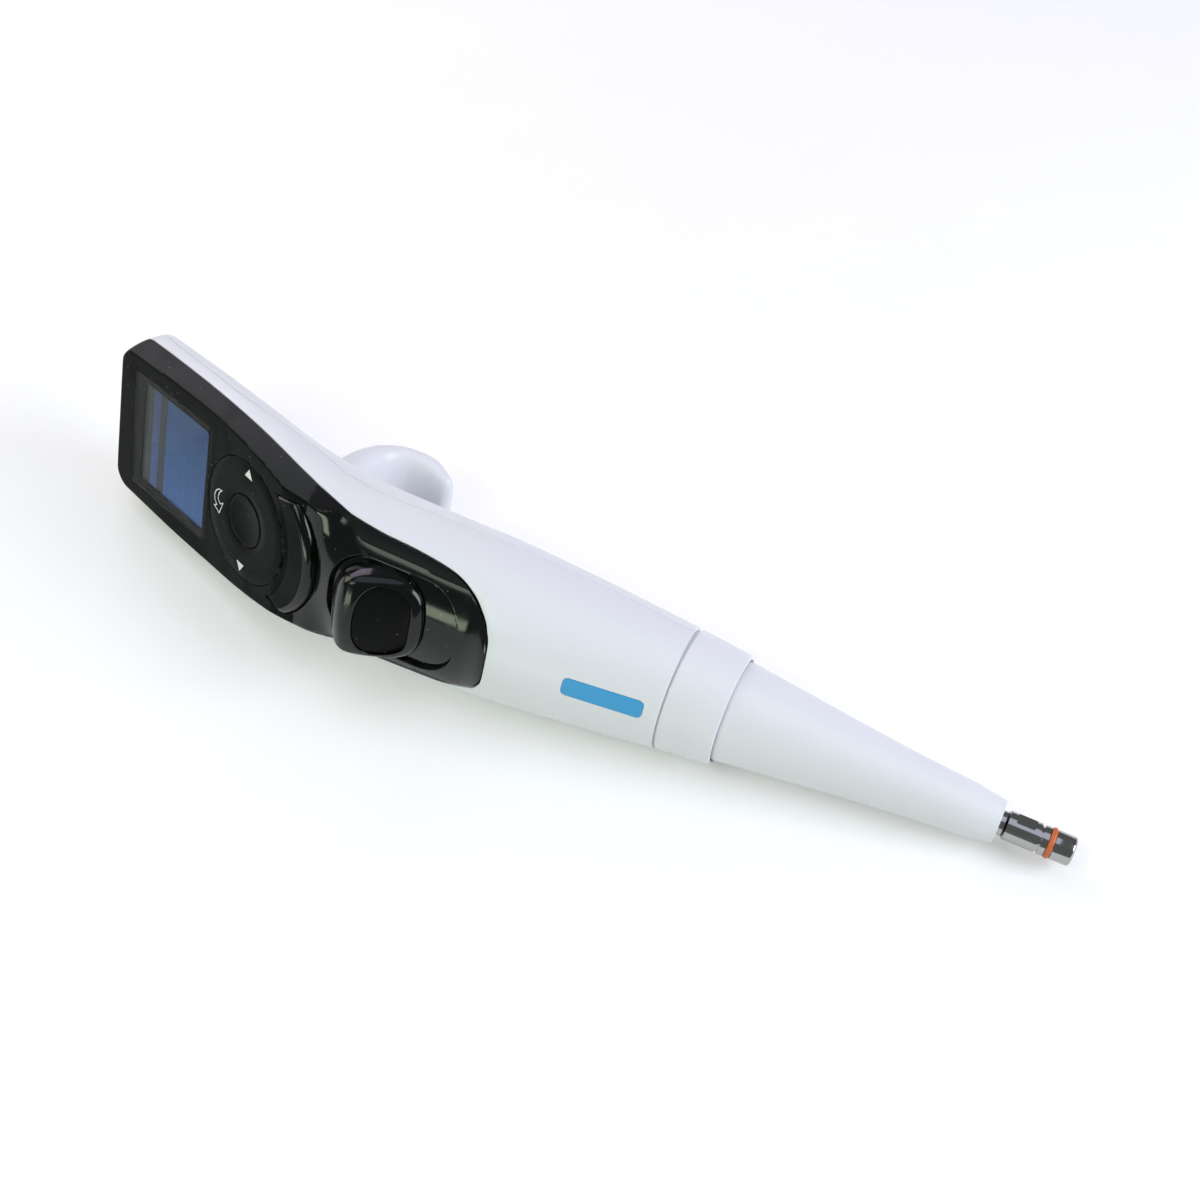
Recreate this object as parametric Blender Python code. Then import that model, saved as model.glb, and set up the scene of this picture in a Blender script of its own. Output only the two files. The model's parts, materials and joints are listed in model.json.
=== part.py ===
"""Electronic single-channel pipette with a tilted display head, lying on its side.

Everything is modelled in the pipette's own axes and parented to one empty that lays it down:
X is the viewer's right when facing the display, Y runs towards the back, and Z runs up from the
nozzle's end to the head. Lengths are in metres and angles in degrees.
"""
import math

import bmesh
import bpy
from mathutils import Matrix, Vector

# How the pipette lies: turned about its own axis, then its nozzle end lowered
LIE_ROLL = 19.45
LIE_PITCH = 5.5

# Fit between neighbouring pieces
SEAM_GAP = 0.0003
RUNNING_GAP = 0.0003
SLIDE_FIT = 0.00006

# Nozzle, the fitting that a disposable tip is pushed onto
NOZZLE_RADIUS = 0.00365
NOZZLE_BORE_RADIUS = 0.0010
NOZZLE_CHAMFER = 0.00045
NOZZLE_STEM_RADIUS = 0.0031
NOZZLE_TOP = 0.0445
ORING_Z = 0.0056
ORING_HALF_WIDTH = 0.00065
ORING_HALF_THICKNESS = 0.00045
ORING_GROOVE_DEPTH = 0.0007
GROOVE_Z = 0.0083
GROOVE_DEPTH = 0.0005
GROOVE_WIDTH = 0.0007
FLAT_BOTTOM_Z = 0.0101
FLAT_TOP_Z = 0.0146
FLAT_DISTANCE = 0.0031
NOZZLE_SHOULDER_Z = 0.0164

# Ejector sleeve, the white cone that strips the tip
SLEEVE_BOTTOM_Z = 0.0182
SLEEVE_WALL = 0.0012
SLEEVE_TOP_Z = 0.0960
SLEEVE_NOSE_Z = 0.0255
SLEEVE_MOUTH_RADIUS = 0.0055
SLEEVE_NOSE_RADIUS = 0.0065
SLEEVE_WAIST_Z = 0.0490
SLEEVE_WAIST_RADIUS = 0.0086
SLEEVE_SHOULDER_Z = 0.0860
SLEEVE_SHOULDER_RADIUS = 0.0129
SLEEVE_WEB_Z = 0.0895
SLEEVE_WEB_THICKNESS = 0.0018
EJECT_TRAVEL = 0.0080

# Cylinder, piston and seal
CYLINDER_RADIUS = 0.0062
CYLINDER_BORE_RADIUS = 0.0046
CYLINDER_BOTTOM_Z = 0.0400
CYLINDER_FLOOR_Z = 0.0465
CYLINDER_TOP_Z = 0.0920
CYLINDER_FOOT_RADIUS = 0.0048
SPRING_SEAT_Z = 0.0640
SPRING_SEAT_RADIUS = 0.0086
SPRING_SEAT_THICKNESS = 0.0016
SPRING_WIRE_RADIUS = 0.0005
SPRING_TURNS = 6
PISTON_RADIUS = 0.0043
PISTON_REST_Z = 0.0478
PISTON_STROKE = 0.0215
SEAL_THICKNESS = 0.0028
SEAL_RADIUS = 0.0062
RETAINER_RADIUS = 0.0080

# Flange that joins the lower module to the handle
FLANGE_RADIUS = 0.0134
FLANGE_BOTTOM_Z = 0.0986
FLANGE_THICKNESS = 0.0060
FLANGE_BORE_RADIUS = 0.0050

# Collar ring
COLLAR_BOTTOM_Z = 0.0870
COLLAR_BOTTOM_RADIUS = 0.0145
COLLAR_TOP_Z = 0.1013
COLLAR_TOP_RADIUS = 0.0158
COLLAR_BORE_RADIUS = 0.01335
COLLAR_MOUTH_Z = 0.0983

# Piston drive
CARRIAGE_RADIUS = 0.0096
CARRIAGE_THICKNESS = 0.0050
GUIDE_ROD_RADIUS = 0.0014
GUIDE_ROD_OFFSET = 0.0074
SCREW_RADIUS = 0.0024
SCREW_LENGTH = 0.0500
MOTOR_RADIUS = 0.0122
MOTOR_LENGTH = 0.0220
MOTOR_FLANGE_THICKNESS = 0.0016
MOTOR_BORE_RADIUS = 0.0029

# Body outline: the spine is straight, bends back through an arc, and is straight in the head
BODY_BOTTOM_Z = 0.1018
BODY_LEAN = -1.62
HEAD_TILT = 24.06
BEND_Y = -0.0029
BEND_Z = 0.2033
BEND_RADIUS = 0.0700
HEAD_TOP = 0.0605
HEAD_CORNER_RADIUS = 0.0050
HEAD_EQUATOR_DEPTH = 0.0100
SHELL_WALL = 0.0017
BEZEL_WALL = 0.0022
CREASE_SOFTNESS = 0.0012

# Half width, front reach and back reach of the body's section, and the roundness of its back,
# at stations measured along the spine from the body's lower end
BODY_STATIONS = (
    (0.000, 0.0160, 0.0160, 0.0160, 2.00),
    (0.014, 0.0174, 0.0177, 0.0173, 2.00),
    (0.028, 0.0186, 0.0194, 0.0187, 2.00),
    (0.049, 0.0203, 0.0214, 0.0199, 2.00),
    (0.066, 0.0209, 0.0215, 0.0200, 2.00),
    (0.084, 0.0216, 0.0212, 0.0200, 2.05),
    (0.104, 0.0230, 0.0216, 0.0181, 2.15),
    (0.123, 0.0247, 0.0226, 0.0130, 2.30),
    (0.143, 0.0252, 0.0230, 0.0100, 2.40),
    (0.163, 0.0247, 0.0230, 0.0085, 2.40),
    (0.180, 0.0238, 0.0230, 0.0076, 2.40),
)

# Face of the head: two flat planes, each through a named point
KEYS_TILT = 26.0
WHEEL_Y = -0.0052
WHEEL_Z = 0.2226
DISPLAY_TILT = 22.5
DISPLAY_Y = 0.0090
DISPLAY_Z = 0.2544

# Side view of the panel's middle line below the keys, lowest point first: (Y, Z)
PANEL_LINE = (
    (-0.0330, 0.1300),
    (-0.0268, 0.1395),
    (-0.0226, 0.1455),
    (-0.0203, 0.1495),
    (-0.0193, 0.1535),
    (-0.0193, 0.1620),
    (-0.0193, 0.1730),
    (-0.0193, 0.1840),
    (-0.0184, 0.1885),
    (-0.0166, 0.1925),
    (-0.0147, 0.1965),
    (-0.0134, 0.2005),
    (-0.0127, 0.2045),
    (-0.0118, 0.2090),
)
PANEL_CROWN_RADIUS = 0.0300
CROWN_END_Z = 0.1890
CROWN_FADE = 0.0100

# Side view of the joint between the dark panel and the white shell below the head: (Y, Z)
PANEL_EDGE_DEPTH = 0.0058
PANEL_EDGE = (
    (-0.0330, 0.1428),
    (-0.0228, 0.1446),
    (-0.0200, 0.1466),
    (-0.0180, 0.1492),
    (-0.0158, 0.1530),
    (-0.0138, 0.1600),
    (-0.0128, 0.1700),
    (-0.0124, 0.1815),
    (-0.0112, 0.1910),
    (-0.0082, 0.2010),
)

# Side view of the joint between the front and rear shells: (Y, Z)
SHELL_PARTING = (
    (0.0026, 0.0950),
    (0.0028, 0.1100),
    (0.0030, 0.1280),
    (0.0009, 0.1650),
    (-0.0008, 0.1830),
    (0.0004, 0.1980),
    (0.0049, 0.2100),
    (0.0109, 0.2336),
    (0.0193, 0.2540),
    (0.0284, 0.2733),
    (0.0350, 0.2880),
)

# Display window and module, in the display plane
WINDOW_WIDTH = 0.0354
WINDOW_HEIGHT = 0.0350
WINDOW_SHIFT = 0.0008
WINDOW_THICKNESS = 0.0010
WINDOW_CORNER = 0.0012
VIEW_WIDTH = 0.0306
VIEW_HEIGHT = 0.0296
LCD_THICKNESS = 0.0022

# Touch wheel, centre button and run key, in the keys plane
WHEEL_RADIUS = 0.0174
WHEEL_BORE_RADIUS = 0.0075
WHEEL_TRAVEL = 0.0004
BUTTON_RADIUS = 0.0072
BUTTON_DISH = 0.0006
BUTTON_TRAVEL = 0.0006
KEY_INNER_RADIUS = 0.0203
KEY_OUTER_RADIUS = 0.0216
KEY_OUTER_SHIFT = 0.0068
KEY_HALF_ANGLE = 52.0
KEY_END_WIDTH = 0.0010
KEY_DEPTH = 0.0044
KEY_EDGE_ROUNDING = 0.0022
CAP_THICKNESS = 0.0019
FLANGE_LIP = 0.0009
FLANGE_PLATE = 0.0007

# Tip ejector: slot, track plate, thumb block and pad
SLOT_HALF_WIDTH = 0.0133
SLOT_BOTTOM_Z = 0.1545
SLOT_TOP_Z = 0.1908
SLOT_CORNER = 0.0110
TRACK_RECESS = 0.0011
TRACK_THICKNESS = 0.0012
STEM_HALF_WIDTH = 0.0030
STEM_BOTTOM_Z = 0.1713
STEM_TOP_Z = 0.1777
BLOCK_HALF_WIDTH = 0.0125
BLOCK_BOTTOM_Z = 0.1634
BLOCK_TOP_Z = 0.1886
BLOCK_ROUNDNESS = 2.6
BLOCK_ROOT_DEPTH = 0.0040
BLOCK_STEPS = 28

# The block's rounded rim: how far each ring is set in, and its share of the height there
BLOCK_RIM = (
    (0.0000, 0.45),
    (0.0003, 0.72),
    (0.0009, 0.90),
    (0.0018, 1.00),
)

# Side view of the thumb block: Z, and height above the panel's middle line there
BLOCK_PROFILE = (
    (0.1634, 0.0003),
    (0.1648, 0.0010),
    (0.1664, 0.0014),
    (0.1690, 0.0023),
    (0.1730, 0.0041),
    (0.1770, 0.0062),
    (0.1795, 0.0073),
    (0.1812, 0.0077),
    (0.1828, 0.0073),
    (0.1846, 0.0058),
    (0.1864, 0.0034),
    (0.1878, 0.0012),
    (0.1886, 0.0002),
)

# Pad let into the block's slope, widest across; its lower end levels out
PAD_Z = 0.1727
PAD_HALF_WIDTH = 0.0103
PAD_HALF_LENGTH = 0.0063
PAD_ROUNDNESS = 2.75
PAD_SLOPE = 30.0
PAD_HEIGHT = 0.0032
PAD_LEAST_HEIGHT = 0.0003
PAD_LEVELLING = 0.0012
PAD_THICKNESS = 0.0012
PAD_FLOOR = -0.0003
PAD_STEPS = 24
POCKET_REACH = 0.0100

# Ejector push bar
BAR_HALF_WIDTH = 0.0026
BAR_THICKNESS = 0.0016
BAR_LOWER_Y = -0.0120
BAR_UPPER_Y = -0.0152
BAR_BEND_Z = 0.1230
BAR_BEND_RUN = 0.0060

# Finger hook: side-view middle line (Y, Z), half width and half thickness
HOOK_LINE = (
    (0.0105, 0.2030, 0.0140, 0.0080),
    (0.0185, 0.2068, 0.0128, 0.0064),
    (0.0270, 0.2078, 0.0118, 0.0050),
    (0.0350, 0.2053, 0.0112, 0.0043),
    (0.0398, 0.1995, 0.0106, 0.0039),
    (0.0406, 0.1922, 0.0098, 0.0034),
    (0.0388, 0.1868, 0.0078, 0.0026),
)

# Inside the head, in the head's mean plane: depths are measured back from it
BOARD_DEPTH = 0.0066
BOARD_THICKNESS = 0.0012
BOARD_HALF_WIDTH = 0.0185
BOARD_BOTTOM = -0.0270
BOARD_TOP = 0.0540
KEYMAT_THICKNESS = 0.0010
TRAY_DEPTH = 0.0082
TRAY_THICKNESS = 0.0009
TRAY_BOTTOM = -0.0150
BATTERY_HALF_WIDTH = 0.0152
BATTERY_BOTTOM = -0.0020
BATTERY_TOP = 0.0480
BATTERY_THICKNESS = 0.0050
COVER_HALF_WIDTH = 0.0140
COVER_BOTTOM = 0.0020
COVER_TOP = 0.0470
COVER_CORNER = 0.0040

# Label on the front of the body
LABEL_X = 0.0018
LABEL_HALF_WIDTH = 0.0025
LABEL_BOTTOM_Z = 0.1051
LABEL_TOP_Z = 0.1255
LABEL_CORNER = 0.0014
LABEL_THICKNESS = 0.0004

# Facets
ROUND_STEPS = 26
SMALL_ROUND_STEPS = 18
BODY_STEPS = 28
INNER_BODY_STEPS = 18

# Places that follow from the sizes above
FLANGE_TOP_Z = FLANGE_BOTTOM_Z + FLANGE_THICKNESS
CARRIAGE_Z = FLANGE_TOP_Z + RUNNING_GAP
DRIVE_PLATE_Z = CARRIAGE_Z + CARRIAGE_THICKNESS + PISTON_STROKE + 0.0005
DRIVE_PLATE_THICKNESS = 0.0016
MOTOR_BOTTOM_Z = DRIVE_PLATE_Z + DRIVE_PLATE_THICKNESS + SEAM_GAP
SPINE_Y = MOTOR_RADIUS + 0.0014
SPINE_THICKNESS = 0.0016
SPINE_HALF_WIDTH = 0.0045
PANEL_TOP_Z = PANEL_LINE[-1][1]
PANEL_FLAT_Y = min(y for y, z in PANEL_LINE if z > SLOT_BOTTOM_Z)
BATTERY_DEPTH = TRAY_DEPTH + TRAY_THICKNESS + SEAM_GAP
KEYMAT_DEPTH = BOARD_DEPTH - SEAM_GAP - KEYMAT_THICKNESS
WHEEL_LIP_RADIUS = WHEEL_RADIUS + RUNNING_GAP + FLANGE_LIP
FAR = 0.080


def clear_scene():
    for obj in list(bpy.data.objects):
        bpy.data.objects.remove(obj, do_unlink=True)


def material(name, color, roughness, metallic=0.0, alpha=1.0):
    mat = bpy.data.materials.new(name)
    mat.use_nodes = True
    shader = mat.node_tree.nodes["Principled BSDF"]
    shader.inputs["Base Color"].default_value = (*color, 1.0)
    shader.inputs["Roughness"].default_value = roughness
    shader.inputs["Metallic"].default_value = metallic
    shader.inputs["Alpha"].default_value = alpha
    mat.diffuse_color = (*color, alpha)
    return mat


def plane_frame(y, z, tilt):
    """Axes of a face that leans back by tilt: X right, Y up the face, Z out of it."""
    angle = math.radians(tilt)
    up = Vector((0.0, math.sin(angle), math.cos(angle)))
    out = Vector((0.0, -math.cos(angle), math.sin(angle)))
    frame = Matrix.Identity(4)
    frame.col[0].xyz = Vector((1.0, 0.0, 0.0))
    frame.col[1].xyz = up
    frame.col[2].xyz = out
    frame.col[3].xyz = Vector((0.0, y, z))
    return frame


KEYS_FRAME = plane_frame(WHEEL_Y, WHEEL_Z, KEYS_TILT)
DISPLAY_FRAME = plane_frame(DISPLAY_Y, DISPLAY_Z, DISPLAY_TILT)
HEAD_FRAME = plane_frame(WHEEL_Y, WHEEL_Z, HEAD_TILT)
UPRIGHT = Matrix.Identity(4)


def smooth_curve(points, steps):
    """Points along a Catmull-Rom curve through the given points."""
    points = [Vector(point) for point in points]
    padded = [points[0] * 2 - points[1], *points, points[-1] * 2 - points[-2]]
    curve = []
    for index in range(len(points) - 1):
        a, b, c, d = padded[index:index + 4]
        for step in range(steps):
            t = step / steps
            curve.append(0.5 * (2 * b + (c - a) * t + (2 * a - 5 * b + 4 * c - d) * t * t
                                + (3 * b - a - 3 * c + d) * t ** 3))
    curve.append(points[-1])
    return curve


def interpolate(rows, position):
    """Values at a position, from rows whose first entry is the position, by smooth steps."""
    for lower, upper in zip(rows, rows[1:]):
        if position <= upper[0]:
            break
    index = rows.index(lower)
    before = rows[max(index - 1, 0)]
    after = rows[min(index + 2, len(rows) - 1)]
    span = upper[0] - lower[0]
    t = (position - lower[0]) / span
    values = []
    for column in range(1, len(lower)):
        start = lower[column]
        end = upper[column]
        slope_in = (end - before[column]) / (upper[0] - before[0]) * span
        slope_out = (after[column] - start) / (after[0] - lower[0]) * span
        value = start + slope_in * t
        value += (3 * (end - start) - 2 * slope_in - slope_out) * t * t
        value += (slope_in + slope_out - 2 * (end - start)) * t ** 3
        values.append(value)
    return values


# Spine of the body

LEAN = math.radians(BODY_LEAN)
TILT = math.radians(HEAD_TILT)
BEND_TANGENT = BEND_RADIUS * math.tan((TILT - LEAN) / 2)
LOWER_LENGTH = (BEND_Z - BODY_BOTTOM_Z) / math.cos(LEAN) - BEND_TANGENT
BEND_LENGTH = BEND_RADIUS * (TILT - LEAN)


def along(angle, distance):
    return Vector((0.0, math.sin(angle), math.cos(angle))) * distance


def spine(length):
    """Point on the spine, and the spine's lean there, at a length from the body's lower end."""
    corner = Vector((0.0, BEND_Y, BEND_Z))
    if length < LOWER_LENGTH:
        return corner - along(LEAN, LOWER_LENGTH + BEND_TANGENT - length), LEAN
    if length > LOWER_LENGTH + BEND_LENGTH:
        return corner + along(TILT, length - LOWER_LENGTH - BEND_LENGTH + BEND_TANGENT), TILT
    turned = (length - LOWER_LENGTH) / BEND_RADIUS
    centre = corner - along(LEAN, BEND_TANGENT) + along(LEAN + math.pi / 2, BEND_RADIUS)
    angle = LEAN + turned
    return centre - along(angle + math.pi / 2, BEND_RADIUS), angle


def head_length(height):
    """Length along the spine of a point that lies this far up the head from the wheel."""
    foot = HEAD_FRAME @ Vector((0.0, 0.0, -HEAD_EQUATOR_DEPTH))
    start = Vector((0.0, BEND_Y, BEND_Z)) + along(TILT, BEND_TANGENT)
    return LOWER_LENGTH + BEND_LENGTH + (foot - start).dot(along(TILT, 1.0)) + height


BODY_LENGTH = head_length(HEAD_TOP)
PANEL_CURVE = smooth_curve(PANEL_LINE, 6)


def face_line(z):
    """How far forward (Y) the face reaches on the middle line at a height."""
    if z >= PANEL_TOP_Z:
        keys = WHEEL_Y + (z - WHEEL_Z) * math.tan(math.radians(KEYS_TILT))
        display = DISPLAY_Y + (z - DISPLAY_Z) * math.tan(math.radians(DISPLAY_TILT))
        return min(keys, display)
    if z <= PANEL_CURVE[0].y:
        return PANEL_CURVE[0].x
    for lower, upper in zip(PANEL_CURVE, PANEL_CURVE[1:]):
        if z <= upper.y:
            t = (z - lower.y) / (upper.y - lower.y)
            return lower.x + (upper.x - lower.x) * t
    return PANEL_CURVE[-1].x


def face_slope(z):
    step = 0.001
    return (face_line(z + step) - face_line(z - step)) / (2 * step)


def crown(x, z):
    fade = min(max((CROWN_END_Z + CROWN_FADE - z) / CROWN_FADE, 0.0), 1.0)
    fade = fade * fade * (3 - 2 * fade)
    return fade * x * x / (2 * PANEL_CROWN_RADIUS)


def face_depth(place, angle, x, start, inset):
    """Where the face, set in by the inset, cuts a section: a distance along its depth."""
    depth = start
    for _ in range(4):
        y = place.y + depth * math.cos(angle)
        z = place.z - depth * math.sin(angle)
        slope = face_slope(z)
        limit = face_line(z) + crown(x, z) + inset * math.sqrt(1 + slope * slope)
        depth -= (y - limit) / (math.cos(angle) + slope * math.sin(angle))
    return depth


def section_angles(inset):
    """Angles round the section: closer together in front, and fewer on an inner surface."""
    front_steps, back_steps = (20, 14) if inset < SHELL_WALL else (14, 10)
    front = [-180 + 180 * step / front_steps for step in range(front_steps)]
    back = [180 * step / back_steps for step in range(back_steps)]
    return [math.radians(angle) for angle in front + back]


def superellipse(angle, half_width, half_depth, power):
    cosine = math.cos(angle)
    sine = math.sin(angle)
    x = half_width * math.copysign(abs(cosine) ** (2 / power), cosine)
    y = half_depth * math.copysign(abs(sine) ** (2 / power), sine)
    return x, y


def body_ring(length, inset):
    """One closed section of the body at a length along the spine, set in from the surface."""
    place, angle = spine(length)
    station = min(max(length, 0.0), BODY_STATIONS[-1][0])
    half_width, front, back, roundness = interpolate(BODY_STATIONS, station)
    corner = HEAD_CORNER_RADIUS
    into_corner = length - (BODY_LENGTH - inset - corner)
    shrink = 0.0
    if into_corner > 0:
        shrink = corner - math.sqrt(max(corner ** 2 - into_corner ** 2, 0.0))
    ring = []
    for turn in section_angles(inset):
        reach = front if turn < 0 else back
        power = 2.0 if turn < 0 else roundness
        cut = inset + shrink
        x, q = superellipse(turn, half_width - cut, reach - cut, power)
        face = face_depth(place, angle, x, -front * 0.6, inset)
        behind = q - face
        softness = CREASE_SOFTNESS
        q = face + 0.5 * (behind + math.sqrt(behind * behind + softness * softness))
        ring.append(place + Vector((x, q * math.cos(angle), -q * math.sin(angle))))
    return ring


def body_lengths(inset, extra):
    """Where the sections lie: evenly up the body, and closer in the rounded head end."""
    top = BODY_LENGTH - inset
    corner_start = top - HEAD_CORNER_RADIUS
    steps, turns = (BODY_STEPS, (25, 45, 65, 85))
    if inset >= SHELL_WALL:
        steps, turns = (INNER_BODY_STEPS, (45, 80))
    lengths = [corner_start * step / steps for step in range(steps + 1)]
    lengths += [corner_start + HEAD_CORNER_RADIUS * math.sin(math.radians(turn))
                for turn in turns]
    if extra:
        lengths.insert(0, -extra)
    return lengths


# Mesh helpers


def mesh_object(name, bm, mat=None, frame=UPRIGHT, smooth=30.0):
    bmesh.ops.recalc_face_normals(bm, faces=bm.faces)
    mesh = bpy.data.meshes.new(name)
    bm.to_mesh(mesh)
    bm.free()
    mesh.shade_smooth()
    mesh.set_sharp_from_angle(angle=math.radians(smooth))
    obj = bpy.data.objects.new(name, mesh)
    bpy.context.collection.objects.link(obj)
    obj.parent = ATTITUDE
    obj.matrix_local = frame
    if mat:
        mesh.materials.append(mat)
    return obj


def ring_mesh(rings, closed=False, flat_ends=False):
    """Faces between rings of equal count. Unless the rings join up, the ends are closed by
    one flat face each or by a fan."""
    bm = bmesh.new()
    rows = [[bm.verts.new(point) for point in ring] for ring in rings]
    count = len(rows[0])
    pairs = list(zip(rows, rows[1:]))
    if closed:
        pairs.append((rows[-1], rows[0]))
    for lower, upper in pairs:
        for index in range(count):
            after = (index + 1) % count
            bm.faces.new((lower[index], lower[after], upper[after], upper[index]))
    if flat_ends:
        bm.faces.new(rows[0])
        bm.faces.new(rows[-1])
    elif not closed:
        for row in (rows[0], rows[-1]):
            centre = sum((vert.co for vert in row), Vector()) / count
            hub = bm.verts.new(centre)
            for index in range(count):
                bm.faces.new((row[index], row[(index + 1) % count], hub))
    return bm


def turned(name, profile, mat=None, frame=UPRIGHT, steps=ROUND_STEPS):
    """A profile of (radius, Z) turned about Z. One that starts and ends at radius 0 is solid."""
    solid = profile[0][0] == 0.0
    if solid:
        profile = profile[1:-1]
    rings = []
    for radius, z in profile:
        angles = [2 * math.pi * step / steps for step in range(steps)]
        rings.append([Vector((radius * math.cos(a), radius * math.sin(a), z)) for a in angles])
    return mesh_object(name, ring_mesh(rings, closed=not solid), mat, frame)


def prism(name, outline, start, end, mat=None, frame=UPRIGHT):
    """An outline of (X, Y) in the frame, between two heights along the frame's Z."""
    bm = bmesh.new()
    low = [bm.verts.new((x, y, start)) for x, y in outline]
    high = [bm.verts.new((x, y, end)) for x, y in outline]
    bm.faces.new(low)
    bm.faces.new(high)
    for index in range(len(outline)):
        after = (index + 1) % len(outline)
        bm.faces.new((low[index], low[after], high[after], high[index]))
    return mesh_object(name, bm, mat, frame)


# A frame whose X is the pipette's Y, whose Y is its Z and whose Z is its X: side views
SIDE_FRAME = Matrix(((0, 0, 1, 0), (1, 0, 0, 0), (0, 1, 0, 0), (0, 0, 0, 1)))
# A frame that looks at the front: X right, Y up, Z towards the viewer
FRONT_FRAME = Matrix(((1, 0, 0, 0), (0, 0, -1, 0), (0, 1, 0, 0), (0, 0, 0, 1)))


def side_prism(name, outline, half_width, mat=None):
    """A side-view outline of (Y, Z), as thick as twice the half width."""
    return prism(name, outline, -half_width, half_width, mat, SIDE_FRAME)


def rounded_rectangle(left, right, bottom, top, radius, steps=6):
    corners = (
        (right - radius, top - radius, 0),
        (left + radius, top - radius, 90),
        (left + radius, bottom + radius, 180),
        (right - radius, bottom + radius, 270),
    )
    outline = []
    for x, y, start in corners:
        for step in range(steps + 1):
            angle = math.radians(start + 90 * step / steps)
            outline.append((x + radius * math.cos(angle), y + radius * math.sin(angle)))
    return outline


def centred(half_width, bottom, top, radius, margin=0.0, steps=6):
    return rounded_rectangle(-half_width - margin, half_width + margin, bottom - margin,
                             top + margin, radius + margin, steps)


def hide(obj):
    obj.hide_render = True
    obj.display_type = "WIRE"
    return obj


def combine(obj, other, operation):
    modifier = obj.modifiers.new(f"{operation.lower()}_{other.name}", "BOOLEAN")
    modifier.operation = operation
    modifier.solver = "EXACT"
    modifier.object = hide(other)
    return obj


def cut(obj, other):
    return combine(obj, other, "DIFFERENCE")


def keep(obj, other):
    return combine(obj, other, "INTERSECT")


def join(obj, other):
    return combine(obj, other, "UNION")


def body_hull(name, inset=0.0, extra=0.0, mat=None):
    rings = [body_ring(length, inset) for length in body_lengths(inset, extra)]
    return mesh_object(name, ring_mesh(rings), mat, smooth=28.0)


def body_skin(name, mat, outer, inner, region):
    """The layer of the body between two insets, inside a region."""
    obj = body_hull(name, outer, mat=mat)
    keep(obj, region)
    cut(obj, body_hull(f"{name}_inside", inner, extra=0.004))
    return obj


def offset_line(points, distance):
    """A side-view line moved sideways, towards larger Y for a line that runs upwards."""
    moved = []
    for index, point in enumerate(points):
        before = points[max(index - 1, 0)]
        after = points[min(index + 1, len(points) - 1)]
        run = (after - before).normalized()
        moved.append(point + Vector((run.y, -run.x)) * distance)
    return moved


def front_region(name, line):
    outline = [(point.x, point.y) for point in line]
    outline += [(-FAR, line[-1].y), (-FAR, line[0].y)]
    return side_prism(name, outline, FAR)


def rear_region(name, line):
    outline = [(point.x, point.y) for point in line]
    outline += [(FAR, line[-1].y), (FAR, line[0].y)]
    return side_prism(name, outline, FAR)


clear_scene()
ATTITUDE = bpy.data.objects.new("attitude", None)
bpy.context.collection.objects.link(ATTITUDE)

WHITE = material("white_shell", (0.82, 0.83, 0.86), 0.35)
BLACK = material("black_panel", (0.02, 0.02, 0.022), 0.3)
GLOSS_BLACK = material("gloss_black", (0.012, 0.014, 0.014), 0.12)
SOFT_BLACK = material("soft_black", (0.018, 0.018, 0.02), 0.6)
GLASS = material("display_glass", (0.10, 0.12, 0.15), 0.08, alpha=0.35)
SCREEN = material("screen_blue", (0.05, 0.16, 0.42), 0.4)
CHROME = material("chrome", (0.75, 0.75, 0.76), 0.1, metallic=1.0)
STEEL = material("steel", (0.55, 0.56, 0.58), 0.3, metallic=1.0)
ORANGE = material("seal_orange", (0.78, 0.15, 0.04), 0.5)
BLUE_LABEL = material("label_blue", (0.04, 0.35, 0.68), 0.5)
GREEN_BOARD = material("board_green", (0.02, 0.16, 0.08), 0.5)
RUBBER = material("keymat_grey", (0.25, 0.25, 0.26), 0.7)
CHASSIS = material("chassis_grey", (0.30, 0.31, 0.33), 0.5)
BATTERY_BLUE = material("battery_wrap", (0.05, 0.10, 0.22), 0.45)
PTFE = material("seal_white", (0.85, 0.85, 0.82), 0.5)

HEAD_LINE_START = -0.012


def panel_edge_line():
    """Side view of the joint between the dark panel and the white shell, from the tip up."""
    curve = smooth_curve(PANEL_EDGE, 4)
    for height in (HEAD_LINE_START, HEAD_TOP * 1.3):
        point = HEAD_FRAME @ Vector((0.0, height, -PANEL_EDGE_DEPTH))
        curve.append(Vector((point.y, point.z)))
    return curve


def parting_line():
    return smooth_curve(SHELL_PARTING, 4)


# Nozzle and seal

def nozzle():
    """Chrome fitting: chamfered end, seal groove, ring groove, two spanner flats and a stem."""
    outer = NOZZLE_RADIUS
    chamfer = NOZZLE_CHAMFER
    groove = ORING_HALF_WIDTH + 0.0001
    seal_floor = outer - ORING_GROOVE_DEPTH
    ring_floor = outer - GROOVE_DEPTH
    half = GROOVE_WIDTH / 2
    profile = [
        (NOZZLE_BORE_RADIUS, 0.0),
        (outer - chamfer, 0.0),
        (outer, chamfer),
        (outer, ORING_Z - groove),
        (seal_floor, ORING_Z - groove),
        (seal_floor, ORING_Z + groove),
        (outer, ORING_Z + groove),
        (outer, GROOVE_Z - half),
        (ring_floor, GROOVE_Z - half),
        (ring_floor, GROOVE_Z + half),
        (outer, GROOVE_Z + half),
        (outer, NOZZLE_SHOULDER_Z),
        (NOZZLE_STEM_RADIUS, NOZZLE_SHOULDER_Z + 0.0006),
        (NOZZLE_STEM_RADIUS, NOZZLE_TOP),
        (NOZZLE_BORE_RADIUS, NOZZLE_TOP),
    ]
    obj = turned("nozzle", profile, CHROME)
    for side in (-1, 1):
        near = FLAT_DISTANCE * side
        far = 0.006 * side
        outline = [(near, -0.006), (far, -0.006), (far, 0.006), (near, 0.006)]
        cut(obj, prism(f"spanner_flat_{side}", outline, FLAT_BOTTOM_Z, FLAT_TOP_Z))
    return obj


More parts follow.
